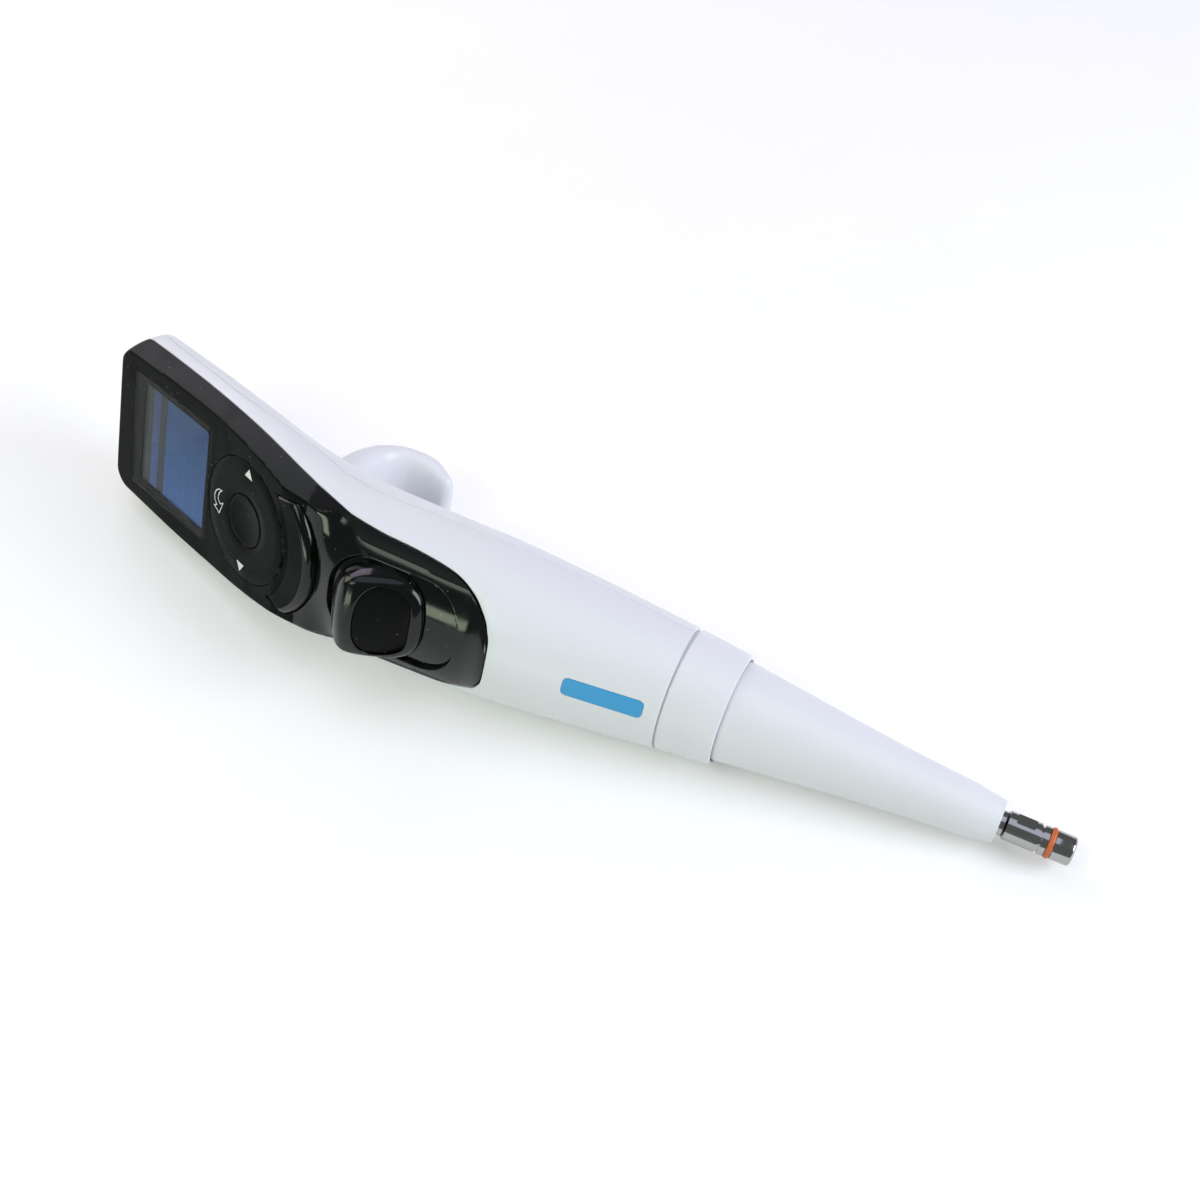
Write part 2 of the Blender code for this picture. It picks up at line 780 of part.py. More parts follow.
def tip_seal():
    """Orange O-ring, pressed oval in the nozzle's groove."""
    centre = NOZZLE_RADIUS - ORING_GROOVE_DEPTH + ORING_HALF_THICKNESS + 0.00005
    profile = []
    for step in range(8):
        angle = -2 * math.pi * step / 8
        profile.append((centre + ORING_HALF_THICKNESS * math.cos(angle),
                        ORING_Z + ORING_HALF_WIDTH * math.sin(angle)))
    return turned("tip_seal", profile, ORANGE)


# Lower module

def ejector_sleeve():
    """Thin cone round the cylinder, with an inner web that slides on it."""
    wall = SLEEVE_WALL
    web = CYLINDER_RADIUS + SLIDE_FIT
    shoulder_bore = SLEEVE_SHOULDER_RADIUS - wall
    outside = [
        (SLEEVE_MOUTH_RADIUS, SLEEVE_BOTTOM_Z),
        (SLEEVE_NOSE_RADIUS, SLEEVE_NOSE_Z),
        (SLEEVE_WAIST_RADIUS, SLEEVE_WAIST_Z),
        (SLEEVE_SHOULDER_RADIUS, SLEEVE_SHOULDER_Z),
    ]
    outside = [(point.x, point.y) for point in smooth_curve(outside, 3)]
    inside = [(radius - wall, z) for radius, z in reversed(outside[::2])]
    profile = outside + [
        (SLEEVE_SHOULDER_RADIUS, SLEEVE_TOP_Z),
        (shoulder_bore, SLEEVE_TOP_Z),
        (shoulder_bore, SLEEVE_WEB_Z + SLEEVE_WEB_THICKNESS),
        (web, SLEEVE_WEB_Z + SLEEVE_WEB_THICKNESS),
        (web, SLEEVE_WEB_Z),
        (shoulder_bore, SLEEVE_WEB_Z),
    ] + inside
    return turned("ejector_sleeve", profile, WHITE)


def cylinder():
    """Barrel for the piston, with a socket for the nozzle's stem and a seat for the spring."""
    seat_top = SPRING_SEAT_Z + SPRING_SEAT_THICKNESS
    socket = NOZZLE_STEM_RADIUS + SEAM_GAP
    socket_top = NOZZLE_TOP + SEAM_GAP
    profile = [
        (socket, CYLINDER_BOTTOM_Z),
        (CYLINDER_FOOT_RADIUS, CYLINDER_BOTTOM_Z),
        (CYLINDER_FOOT_RADIUS, socket_top - 0.0008),
        (CYLINDER_RADIUS, socket_top + 0.0010),
        (CYLINDER_RADIUS, SPRING_SEAT_Z),
        (SPRING_SEAT_RADIUS, SPRING_SEAT_Z),
        (SPRING_SEAT_RADIUS, seat_top),
        (CYLINDER_RADIUS, seat_top),
        (CYLINDER_RADIUS, CYLINDER_TOP_Z),
        (CYLINDER_BORE_RADIUS, CYLINDER_TOP_Z),
        (CYLINDER_BORE_RADIUS, CYLINDER_FLOOR_Z),
        (NOZZLE_BORE_RADIUS, CYLINDER_FLOOR_Z),
        (NOZZLE_BORE_RADIUS, socket_top),
        (socket, socket_top),
    ]
    return turned("cylinder", profile, STEEL)


def return_spring():
    """Coil round the cylinder that lifts the sleeve back after a tip is ejected."""
    seat = SPRING_SEAT_Z + SPRING_SEAT_THICKNESS
    wire = SPRING_WIRE_RADIUS
    start = seat + wire + SEAM_GAP
    end = SLEEVE_WEB_Z - wire - SEAM_GAP
    radius = CYLINDER_RADIUS + wire + 0.0008
    per_turn = 10
    sides = 5
    rings = []
    for step in range(SPRING_TURNS * per_turn + 1):
        share = step / (SPRING_TURNS * per_turn)
        angle = 2 * math.pi * SPRING_TURNS * share
        outward = Vector((math.cos(angle), math.sin(angle), 0.0))
        centre = outward * radius + Vector((0.0, 0.0, start + (end - start) * share))
        ring = []
        for side in range(sides):
            turn = 2 * math.pi * side / sides
            ring.append(centre + outward * wire * math.cos(turn)
                        + Vector((0.0, 0.0, wire * math.sin(turn))))
        rings.append(ring)
    return mesh_object("return_spring", ring_mesh(rings), STEEL)


def piston():
    top = CARRIAGE_Z - SEAM_GAP
    profile = [
        (0.0, PISTON_REST_Z),
        (PISTON_RADIUS - 0.0005, PISTON_REST_Z),
        (PISTON_RADIUS, PISTON_REST_Z + 0.0005),
        (PISTON_RADIUS, top),
        (0.0, top),
    ]
    return turned("piston", profile, STEEL, steps=SMALL_ROUND_STEPS)


def piston_seal():
    start = CYLINDER_TOP_Z + SEAM_GAP
    end = start + SEAL_THICKNESS
    bore = PISTON_RADIUS + SLIDE_FIT
    profile = [
        (bore, start),
        (SEAL_RADIUS, start),
        (SEAL_RADIUS, end),
        (bore + 0.0006, end),
        (bore, end - 0.0009),
    ]
    return turned("piston_seal", profile, PTFE, steps=SMALL_ROUND_STEPS)


def seal_retainer():
    """Ring nut that clamps the seal under the flange, with two notches for its key."""
    start = CYLINDER_TOP_Z + SEAL_THICKNESS + 2 * SEAM_GAP
    end = FLANGE_BOTTOM_Z - SEAM_GAP
    bore = FLANGE_BORE_RADIUS
    profile = [(bore, start), (RETAINER_RADIUS, start), (RETAINER_RADIUS, end), (bore, end)]
    obj = turned("seal_retainer", profile, STEEL)
    for side in (-1, 1):
        near = (RETAINER_RADIUS - 0.0012) * side
        outline = [(near, -0.001), (0.012 * side, -0.001), (0.012 * side, 0.001), (near, 0.001)]
        cut(obj, prism(f"retainer_notch_{side}", outline, start - 0.001, start + 0.0016))
    return obj


def module_flange():
    """Disc that joins the lower module to the handle; the push bar passes a notch in its rim."""
    profile = [
        (FLANGE_BORE_RADIUS, FLANGE_BOTTOM_Z),
        (FLANGE_RADIUS, FLANGE_BOTTOM_Z),
        (FLANGE_RADIUS, FLANGE_TOP_Z),
        (FLANGE_BORE_RADIUS, FLANGE_TOP_Z),
    ]
    obj = turned("module_flange", profile, CHASSIS)
    side = BAR_HALF_WIDTH + RUNNING_GAP
    back = BAR_LOWER_Y + BAR_THICKNESS / 2 + RUNNING_GAP
    outline = [(-side, -0.02), (side, -0.02), (side, back), (-side, back)]
    cut(obj, prism("bar_notch", outline, FLANGE_BOTTOM_Z - 0.002, FLANGE_TOP_Z + 0.002))
    return obj


def collar():
    """White ring at the joint; its thin lower lip overhangs the ejector sleeve."""
    mouth_bore = FLANGE_RADIUS + SEAM_GAP
    profile = [
        (COLLAR_BORE_RADIUS, COLLAR_BOTTOM_Z),
        (COLLAR_BOTTOM_RADIUS - 0.0003, COLLAR_BOTTOM_Z),
        (COLLAR_BOTTOM_RADIUS, COLLAR_BOTTOM_Z + 0.0004),
        (COLLAR_TOP_RADIUS, COLLAR_TOP_Z - 0.0003),
        (COLLAR_TOP_RADIUS - 0.0003, COLLAR_TOP_Z),
        (mouth_bore, COLLAR_TOP_Z),
        (mouth_bore, COLLAR_MOUTH_Z),
        (COLLAR_BORE_RADIUS, COLLAR_MOUTH_Z),
    ]
    return turned("collar", profile, WHITE, steps=40)


# Piston drive

def guide_rods():
    top = DRIVE_PLATE_Z - SEAM_GAP
    for name, side in (("guide_rod_left", -1), ("guide_rod_right", 1)):
        frame = Matrix.Translation((GUIDE_ROD_OFFSET * side, 0.0, 0.0))
        start = FLANGE_TOP_Z + SEAM_GAP
        profile = [(0.0, start), (GUIDE_ROD_RADIUS, start), (GUIDE_ROD_RADIUS, top), (0.0, top)]
        turned(name, profile, STEEL, frame, steps=12)


def piston_carriage():
    """Disc that carries the piston and slides on the two guide rods."""
    start = CARRIAGE_Z
    end = CARRIAGE_Z + CARRIAGE_THICKNESS
    profile = [(0.0, start), (CARRIAGE_RADIUS, start), (CARRIAGE_RADIUS, end), (0.0, end)]
    obj = turned("piston_carriage", profile, CHASSIS)
    for side in (-1, 1):
        frame = Matrix.Translation((GUIDE_ROD_OFFSET * side, 0.0, 0.0))
        bore = GUIDE_ROD_RADIUS + SLIDE_FIT
        hole = [(0.0, start - 0.002), (bore, start - 0.002), (bore, end + 0.002),
                (0.0, end + 0.002)]
        cut(obj, turned(f"carriage_hole_{side}", hole, frame=frame, steps=12))
    return obj


def lead_screw():
    start = CARRIAGE_Z + CARRIAGE_THICKNESS + SEAM_GAP
    end = start + SCREW_LENGTH
    radius = SCREW_RADIUS
    profile = [
        (0.0, start),
        (radius, start),
        (radius, end - 0.0006),
        (radius - 0.0006, end),
        (0.0, end),
    ]
    return turned("lead_screw", profile, STEEL, steps=14)


def motor():
    """Stepper can with the screw passing right through it."""
    start = MOTOR_BOTTOM_Z
    end = start + MOTOR_LENGTH
    profile = [
        (MOTOR_BORE_RADIUS, start),
        (MOTOR_RADIUS, start),
        (MOTOR_RADIUS, start + MOTOR_FLANGE_THICKNESS),
        (MOTOR_RADIUS - 0.0006, start + MOTOR_FLANGE_THICKNESS),
        (MOTOR_RADIUS - 0.0006, end - 0.0012),
        (MOTOR_RADIUS - 0.0018, end),
        (MOTOR_BORE_RADIUS + 0.0022, end),
        (MOTOR_BORE_RADIUS + 0.0022, end + 0.0012),
        (MOTOR_BORE_RADIUS, end + 0.0012),
    ]
    return turned("drive_motor", profile, STEEL)


def chassis():
    """Inner frame: a plate over the guide rods, a spine behind the motor and a battery tray."""
    width = SPINE_HALF_WIDTH
    inner = SPINE_Y
    outer = SPINE_Y + SPINE_THICKNESS
    tray_foot = HEAD_FRAME @ Vector((0.0, TRAY_BOTTOM, -TRAY_DEPTH))
    tray_back = HEAD_FRAME @ Vector((0.0, TRAY_BOTTOM, -TRAY_DEPTH - TRAY_THICKNESS))
    bend_z = tray_foot.z - (inner - tray_foot.y)
    outline = [
        (inner, DRIVE_PLATE_Z),
        (outer, DRIVE_PLATE_Z),
        (outer, bend_z),
        (tray_back.y + 0.0006, tray_back.z + 0.0010),
        (tray_foot.y, tray_foot.z + 0.0004),
        (inner, bend_z - 0.0012),
    ]
    obj = side_prism("chassis", outline, width, CHASSIS)
    tray = prism("chassis_tray",
                 centred(BATTERY_HALF_WIDTH + 0.0012, TRAY_BOTTOM, BATTERY_TOP, 0.002),
                 -TRAY_DEPTH - TRAY_THICKNESS, -TRAY_DEPTH, frame=HEAD_FRAME)
    join(obj, tray)
    plate_profile = [
        (SCREW_RADIUS + RUNNING_GAP, DRIVE_PLATE_Z),
        (CARRIAGE_RADIUS + 0.0010, DRIVE_PLATE_Z),
        (CARRIAGE_RADIUS + 0.0010, DRIVE_PLATE_Z + DRIVE_PLATE_THICKNESS),
        (SCREW_RADIUS + RUNNING_GAP, DRIVE_PLATE_Z + DRIVE_PLATE_THICKNESS),
    ]
    join(obj, turned("chassis_plate", plate_profile))
    arm = [(CARRIAGE_RADIUS - 0.001, DRIVE_PLATE_Z), (outer - 0.0004, DRIVE_PLATE_Z),
           (outer - 0.0004, DRIVE_PLATE_Z + DRIVE_PLATE_THICKNESS),
           (CARRIAGE_RADIUS - 0.001, DRIVE_PLATE_Z + DRIVE_PLATE_THICKNESS)]
    join(obj, side_prism("chassis_arm", arm, width - 0.0006))
    return obj


def push_bar():
    """Bent strip from the thumb block down to the top of the ejector sleeve."""
    half = BAR_THICKNESS / 2
    lower = BAR_LOWER_Y
    upper = BAR_UPPER_Y
    bend = BAR_BEND_Z
    bottom = SLEEVE_TOP_Z + SEAM_GAP
    outline = [
        (lower + half, bottom),
        (lower + half, bend),
        (upper + half, bend + BAR_BEND_RUN),
        (upper + half, STEM_TOP_Z),
        (upper - half, STEM_TOP_Z),
        (upper - half, bend + BAR_BEND_RUN),
        (lower - half, bend),
        (lower - half, bottom),
    ]
    return side_prism("push_bar", outline, BAR_HALF_WIDTH, STEEL)


# Handle shells

def label_outline(margin):
    outline = centred(LABEL_HALF_WIDTH, LABEL_BOTTOM_Z, LABEL_TOP_Z, LABEL_CORNER, margin, 3)
    return [(x + LABEL_X, z) for x, z in outline]


def front_shell():
    gap = SEAM_GAP
    obj = body_hull("front_shell", mat=WHITE)
    keep(obj, front_region("front_half", offset_line(parting_line(), -gap / 2)))
    cut(obj, front_region("panel_space", offset_line(panel_edge_line(), gap / 2)))
    cut(obj, body_hull("front_shell_inside", SHELL_WALL, extra=0.004))
    pocket = prism("label_pocket", label_outline(0.0001), 0.008, 0.030, frame=FRONT_FRAME)
    cut(pocket, body_hull("label_floor", LABEL_THICKNESS + 0.0002))
    cut(obj, pocket)
    return obj


def hook_ring(row):
    """Oval section of the hook, square to its middle line."""
    y, z, half_width, half_thickness, direction = row
    across = Vector((0.0, direction.y, -direction.x))
    ring = []
    for step in range(20):
        x, q = superellipse(2 * math.pi * step / 20, half_width, half_thickness, 2.6)
        ring.append(Vector((x, y, z)) + across * q)
    return ring


def hook():
    """Curled rest for the index finger, rounded off at its tip."""
    line = [Vector((row[0], row[1], row[2], row[3])) for row in HOOK_LINE]
    curve = smooth_curve(line, 3)
    rows = []
    for index, point in enumerate(curve):
        before = curve[max(index - 1, 0)]
        after = curve[min(index + 1, len(curve) - 1)]
        direction = Vector((after[0] - before[0], after[1] - before[1])).normalized()
        rows.append((point[0], point[1], point[2], point[3], direction))
    last = rows[-1]
    for turn in (35, 60, 80):
        bulge = math.radians(turn)
        shrink = math.cos(bulge)
        forward = last[3] * math.sin(bulge)
        rows.append((last[0] + last[4].x * forward, last[1] + last[4].y * forward,
                     last[2] * (0.35 + 0.65 * shrink), last[3] * shrink, last[4]))
    return mesh_object("finger_hook", ring_mesh([hook_ring(row) for row in rows]))


def cover_outline(margin):
    return centred(COVER_HALF_WIDTH, COVER_BOTTOM, COVER_TOP, COVER_CORNER, margin, 4)


def rear_shell():
    """Rear half with the finger hook moulded on and an opening for the battery cover."""
    gap = SEAM_GAP
    obj = body_hull("rear_shell", mat=WHITE)
    keep(obj, rear_region("rear_half", offset_line(parting_line(), gap / 2)))
    join(obj, hook())
    cut(obj, body_hull("rear_shell_inside", SHELL_WALL, extra=0.004))
    opening = prism("cover_opening", cover_outline(0.0), -0.045, -0.0125, frame=HEAD_FRAME)
    cut(obj, opening)
    return obj


def battery_cover():
    region = prism("cover_region", cover_outline(-SEAM_GAP), -0.045, -0.0125, frame=HEAD_FRAME)
    return body_skin("battery_cover", WHITE, 0.0, SHELL_WALL, region)


def label():
    region = prism("label_region", label_outline(-0.00015), 0.008, 0.030, frame=FRONT_FRAME)
    return body_skin("volume_label", BLUE_LABEL, 0.00005, LABEL_THICKNESS, region)


# Front panel and what sits in it

def key_outline(trim=0.0):
    """Crescent under the wheel: an arc about the wheel's centre and a lower, flatter arc."""
    inner = KEY_INNER_RADIUS
    outer = KEY_OUTER_RADIUS - trim
    half = math.radians(KEY_HALF_ANGLE) * (1 - trim / outer)
    end_angle = math.asin((inner * math.sin(half) + KEY_END_WIDTH) / outer)
    steps = 13
    outline = []
    for step in range(steps + 1):
        angle = -half + 2 * half * step / steps
        outline.append((inner * math.sin(angle), -inner * math.cos(angle)))
    for step in range(steps + 1):
        angle = end_angle - 2 * end_angle * step / steps
        outline.append((outer * math.sin(angle), -KEY_OUTER_SHIFT - outer * math.cos(angle)))
    return outline


def grown(outline, margin):
    """A clockwise outline moved outwards by the margin all the way round."""
    moved = []
    for index, (x, y) in enumerate(outline):
        point = Vector((x, y))
        into = (point - Vector(outline[index - 1])).normalized()
        out_of = (Vector(outline[(index + 1) % len(outline)]) - point).normalized()
        normal = Vector((-into.y - out_of.y, into.x + out_of.x)).normalized()
        reach = margin / max(normal.dot(Vector((-into.y, into.x))), 0.4)
        moved.append(tuple(point + normal * reach))
    return moved


def slot_outline(margin):
    return centred(SLOT_HALF_WIDTH, SLOT_BOTTOM_Z, SLOT_TOP_Z, SLOT_CORNER, margin, 6)


def bezel():
    """Dark front panel: flat face, scooped thumb area, window pocket and openings."""
    obj = body_hull("front_panel", mat=BLACK)
    keep(obj, front_region("panel_region", offset_line(panel_edge_line(), -SEAM_GAP / 2)))
    cut(obj, body_hull("front_panel_inside", BEZEL_WALL, extra=0.004))
    half_height = WINDOW_HEIGHT / 2
    pocket = centred(WINDOW_WIDTH / 2, WINDOW_SHIFT - half_height, WINDOW_SHIFT + half_height,
                     WINDOW_CORNER, 0.0, 3)
    cut(obj, prism("window_pocket", pocket, -WINDOW_THICKNESS - SEAM_GAP, 0.01,
                   frame=DISPLAY_FRAME))
    half_height = VIEW_HEIGHT / 2
    view = centred(VIEW_WIDTH / 2, -half_height, half_height, 0.001, 0.0, 3)
    cut(obj, prism("view_opening", view, -0.008, 0.01, frame=DISPLAY_FRAME))
    bore = WHEEL_RADIUS + RUNNING_GAP
    hole = [(0.0, -0.012), (bore, -0.012), (bore, 0.006), (0.0, 0.006)]
    cut(obj, turned("wheel_hole", hole, frame=KEYS_FRAME))
    wide = WHEEL_LIP_RADIUS + RUNNING_GAP
    room = [(0.0, -0.012), (wide, -0.012), (wide, -BEZEL_WALL - 0.0001), (0.0, -BEZEL_WALL)]
    cut(obj, turned("wheel_lip_room", room, frame=KEYS_FRAME))
    cut(obj, prism("key_hole", grown(key_outline(), RUNNING_GAP), -0.012, 0.006, frame=KEYS_FRAME))
    cut(obj, prism("ejector_slot", slot_outline(0.0), 0.010, 0.032, frame=FRONT_FRAME))
    return obj


def display_window():
    half_height = WINDOW_HEIGHT / 2
    outline = centred(WINDOW_WIDTH / 2, WINDOW_SHIFT - half_height, WINDOW_SHIFT + half_height,
                      WINDOW_CORNER, -SEAM_GAP, 3)
    return prism("display_window", outline, -WINDOW_THICKNESS, 0.0, GLASS, DISPLAY_FRAME)


def lcd_module():
    """Screen in its frame behind the panel; the screen stands up into the panel's opening."""
    top = -BEZEL_WALL - SEAM_GAP
    half_width = VIEW_WIDTH / 2
    half_height = VIEW_HEIGHT / 2
    frame = centred(half_width + 0.0022, -half_height, half_height, 0.0006, 0.0004, 2)
    obj = prism("lcd_module", frame, top - LCD_THICKNESS, top, SCREEN, DISPLAY_FRAME)
    screen = centred(half_width, -half_height, half_height, 0.001, -SEAM_GAP, 2)
    join(obj, prism("lcd_screen", screen, top - 0.0006, -WINDOW_THICKNESS - SEAM_GAP,
                    frame=DISPLAY_FRAME))
    return obj


def touch_wheel():
    """Flat ring with a lip behind the panel that keeps it in."""
    lip_top = -BEZEL_WALL - WHEEL_TRAVEL
    lip_bottom = lip_top - FLANGE_PLATE
    profile = [
        (WHEEL_BORE_RADIUS, -CAP_THICKNESS),
        (WHEEL_BORE_RADIUS, -0.0003),
        (WHEEL_BORE_RADIUS + 0.0003, 0.0),
        (WHEEL_RADIUS - 0.0003, 0.0),
        (WHEEL_RADIUS, -0.0003),
        (WHEEL_RADIUS, lip_top),
        (WHEEL_LIP_RADIUS, lip_top),
        (WHEEL_LIP_RADIUS, lip_bottom),
        (WHEEL_RADIUS - 0.0016, lip_bottom),
        (WHEEL_RADIUS - 0.0016, -CAP_THICKNESS),
    ]
    return turned("touch_wheel", profile, BLACK, KEYS_FRAME, steps=40)


def centre_button():
    """Dished round button in the middle of the wheel, with a lip behind the wheel."""
    lip_top = -CAP_THICKNESS - BUTTON_TRAVEL - 0.0001
    lip_bottom = lip_top - FLANGE_PLATE
    radius = BUTTON_RADIUS
    lip = WHEEL_BORE_RADIUS + FLANGE_LIP
    profile = [
        (0.0, lip_bottom),
        (lip, lip_bottom),
        (lip, lip_top),
        (radius, lip_top),
        (radius, -0.0003),
        (radius - 0.0004, 0.0),
        (radius * 0.72, -BUTTON_DISH * 0.55),
        (radius * 0.40, -BUTTON_DISH * 0.88),
        (0.0, -BUTTON_DISH),
    ]
    return turned("centre_button", profile, BLACK, KEYS_FRAME)


def run_key():
    """Crescent key with a flat face and a rounded lower edge."""
    rings = [[Vector((x, y, -KEY_DEPTH)) for x, y in key_outline()]]
    for turn in (0, 25, 50, 75, 90):
        angle = math.radians(turn)
        trim = KEY_EDGE_ROUNDING * (1 - math.cos(angle))
        height = -KEY_EDGE_ROUNDING * (1 - math.sin(angle))
        rings.append([Vector((x, y, height)) for x, y in key_outline(trim)])
    return mesh_object("run_key", ring_mesh(rings, flat_ends=True), GLOSS_BLACK, KEYS_FRAME)


def ejector_track():
    """Inlaid plate that the thumb block slides over, with a slot for the block's stem."""
    region = prism("track_region", slot_outline(-SEAM_GAP), 0.010, 0.032, frame=FRONT_FRAME)
    obj = body_skin("ejector_track", GLOSS_BLACK, TRACK_RECESS, TRACK_RECESS + TRACK_THICKNESS,
                    region)
    margin = RUNNING_GAP
    slot = centred(STEM_HALF_WIDTH, STEM_BOTTOM_Z - EJECT_TRAVEL, STEM_TOP_Z, 0.001, margin, 2)
    cut(obj, prism("stem_slot", slot, 0.008, 0.032, frame=FRONT_FRAME))
    return obj


def crowned(x, z, height):
    """Point at a height above the panel's flat stretch, which falls away to both sides."""
    return Vector((x, PANEL_FLAT_Y - height + x * x / (2 * PANEL_CROWN_RADIUS), z))


def oval(half_width, half_length, middle, power, steps, place):
    """Closed ring of points over an oval in front view; place(x, z) gives each its height."""
    ring = []
    for step in range(steps):
        x, z = superellipse(2 * math.pi * step / steps, half_width, half_length, power)
        ring.append(crowned(x, middle + z, place(middle + z)))
    return ring


def track_sweep():
    """Everything behind the crowned track, straight up and down, where the block slides."""
    reach = BLOCK_HALF_WIDTH + 0.001
    steps = 10
    outline = [(-reach, 0.0), (reach, 0.0)]
    for step in range(steps + 1):
        x = reach - 2 * reach * step / steps
        outline.append((x, crowned(x, 0.0, RUNNING_GAP - TRACK_RECESS).y))
    return prism("track_sweep", outline, BLOCK_BOTTOM_Z - 0.002, BLOCK_TOP_Z + 0.002)


def pad_height(z):
    slope = PAD_HEIGHT + (z - PAD_Z) * math.tan(math.radians(PAD_SLOPE))
    above = slope - PAD_LEAST_HEIGHT
    return PAD_LEAST_HEIGHT + 0.5 * (above + math.hypot(above, PAD_LEVELLING))


def pad_shape(name, margin, lift, mat=None):
    """The pad, or the pocket for it: an oval with a sloping, crowned top."""
    def ring(share, place):
        return oval((PAD_HALF_WIDTH + margin) * share, (PAD_HALF_LENGTH + margin) * share, PAD_Z,
                    PAD_ROUNDNESS, PAD_STEPS, place)

    def floor(z):
        return max(pad_height(z) - PAD_THICKNESS, PAD_FLOOR) - margin

    def top(z):
        return pad_height(z) + lift

    rings = [ring(0.5, floor), ring(1.0, floor)]
    rings.extend(ring(share, top) for share in (1.0, 0.7, 0.35))
    return mesh_object(name, ring_mesh(rings), mat)


def thumb_block():
    """Hump for the thumb: steep towards the head, sloping down to the nozzle's side, with a
    pocket for the pad. Its underside clears the track and a stem goes through the slot."""
    middle = (BLOCK_TOP_Z + BLOCK_BOTTOM_Z) / 2
    half_length = (BLOCK_TOP_Z - BLOCK_BOTTOM_Z) / 2

    def ring(inset, share, fill):
        def height(z):
            top = interpolate(BLOCK_PROFILE, min(max(z, BLOCK_BOTTOM_Z), BLOCK_TOP_Z))[0]
            return (top + TRACK_RECESS) * fill - TRACK_RECESS
        return oval((BLOCK_HALF_WIDTH - inset) * share, (half_length - inset) * share, middle,
                    BLOCK_ROUNDNESS, BLOCK_STEPS, height)

    rings = [oval(BLOCK_HALF_WIDTH, half_length, middle, BLOCK_ROUNDNESS, BLOCK_STEPS,
                  lambda z: -BLOCK_ROOT_DEPTH)]
    rings.extend(ring(inset, 1.0, fill) for inset, fill in BLOCK_RIM)
    rings.extend(ring(BLOCK_RIM[-1][0], share, 1.0) for share in (0.8, 0.6, 0.4, 0.2))
    obj = mesh_object("thumb_block", ring_mesh(rings), GLOSS_BLACK)
    cut(obj, track_sweep())
    stem = centred(STEM_HALF_WIDTH, STEM_BOTTOM_Z, STEM_TOP_Z, 0.0007, 0.0, 2)
    stem_back = -(BAR_UPPER_Y - BAR_THICKNESS / 2 - SEAM_GAP)
    join(obj, prism("block_stem", stem, stem_back, -PANEL_FLAT_Y, frame=FRONT_FRAME))
    cut(obj, pad_shape("pad_pocket", SEAM_GAP, POCKET_REACH))
    return obj


def thumb_pad():
    """Soft insert that fills the pocket in the block's slope."""
    return pad_shape("thumb_pad", 0.0, 0.0, SOFT_BLACK)


# Inside the head

def keymat():
    """Silicone sheet on the board with raised domes under the wheel, the button and the key."""
    top = -KEYMAT_DEPTH
    dome_top = -0.0046
    sheet = centred(BOARD_HALF_WIDTH - 0.002, BOARD_BOTTOM + 0.002, WHEEL_RADIUS - 0.001,
                    0.002, 0.0, 3)
    obj = prism("keymat", sheet, top - KEYMAT_THICKNESS, top, RUBBER, HEAD_FRAME)
    ring = (WHEEL_RADIUS + WHEEL_BORE_RADIUS) / 2
    key_y = -(KEY_INNER_RADIUS + KEY_OUTER_RADIUS + KEY_OUTER_SHIFT) / 2
    places = [(0.0, 0.0), (ring, 0.0), (-ring, 0.0), (0.0, ring), (0.0, -ring), (0.0, key_y)]
    for index, (x, y) in enumerate(places):
        profile = [(0.0, top - 0.0004), (0.0024, top - 0.0004), (0.0018, dome_top),
                   (0.0, dome_top)]
        frame = HEAD_FRAME @ Matrix.Translation((x, y, 0.0))
        join(obj, turned(f"dome_{index}", profile, frame=frame, steps=8))
    return obj


def main_board():
    outline = centred(BOARD_HALF_WIDTH, BOARD_BOTTOM, BOARD_TOP, 0.002, 0.0, 2)
    return prism("main_board", outline, -BOARD_DEPTH - BOARD_THICKNESS, -BOARD_DEPTH,
                 GREEN_BOARD, HEAD_FRAME)


def battery():
    outline = centred(BATTERY_HALF_WIDTH, BATTERY_BOTTOM, BATTERY_TOP, 0.0015, 0.0, 2)
    obj = prism("battery", outline, -BATTERY_DEPTH - BATTERY_THICKNESS, -BATTERY_DEPTH,
                BATTERY_BLUE, HEAD_FRAME)
    bevel = obj.modifiers.new("rounded_edge", "BEVEL")
    bevel.width = 0.0008
    bevel.segments = 2
    bevel.limit_method = "ANGLE"
    bevel.angle_limit = math.radians(50)
    return obj


def lay_down():
    """Turn the pipette onto its side and set its lowest point on the surface, centred."""
    to_side = Matrix(((0, 0, -1, 0), (0, 1, 0, 0), (1, 0, 0, 0), (0, 0, 0, 1)))
    roll = Matrix.Rotation(math.radians(LIE_ROLL), 4, "Z")
    pitch = Matrix.Rotation(math.radians(LIE_PITCH), 4, "Y")
    attitude = pitch @ to_side @ roll
    ATTITUDE.matrix_world = attitude
    bpy.context.view_layer.update()
    graph = bpy.context.evaluated_depsgraph_get()
    low = Vector((math.inf,) * 3)
    high = Vector((-math.inf,) * 3)
    for obj in bpy.data.objects:
        if obj.type != "MESH" or obj.hide_render:
            continue
        shape = obj.evaluated_get(graph)
        for vert in shape.data.vertices:
            point = shape.matrix_world @ vert.co
            low = Vector(map(min, low, point))
            high = Vector(map(max, high, point))
    shift = Vector((-(low.x + high.x) / 2, -(low.y + high.y) / 2, -low.z))
    ATTITUDE.matrix_world = Matrix.Translation(shift) @ attitude


nozzle()
tip_seal()
ejector_sleeve()
cylinder()
return_spring()
piston()
piston_seal()
seal_retainer()
module_flange()
collar()
guide_rods()
piston_carriage()
lead_screw()
motor()
chassis()
push_bar()
front_shell()
rear_shell()
battery_cover()
label()
bezel()
display_window()
lcd_module()
touch_wheel()
centre_button()
run_key()
ejector_track()
thumb_block()
thumb_pad()
keymat()
main_board()
battery()
lay_down()
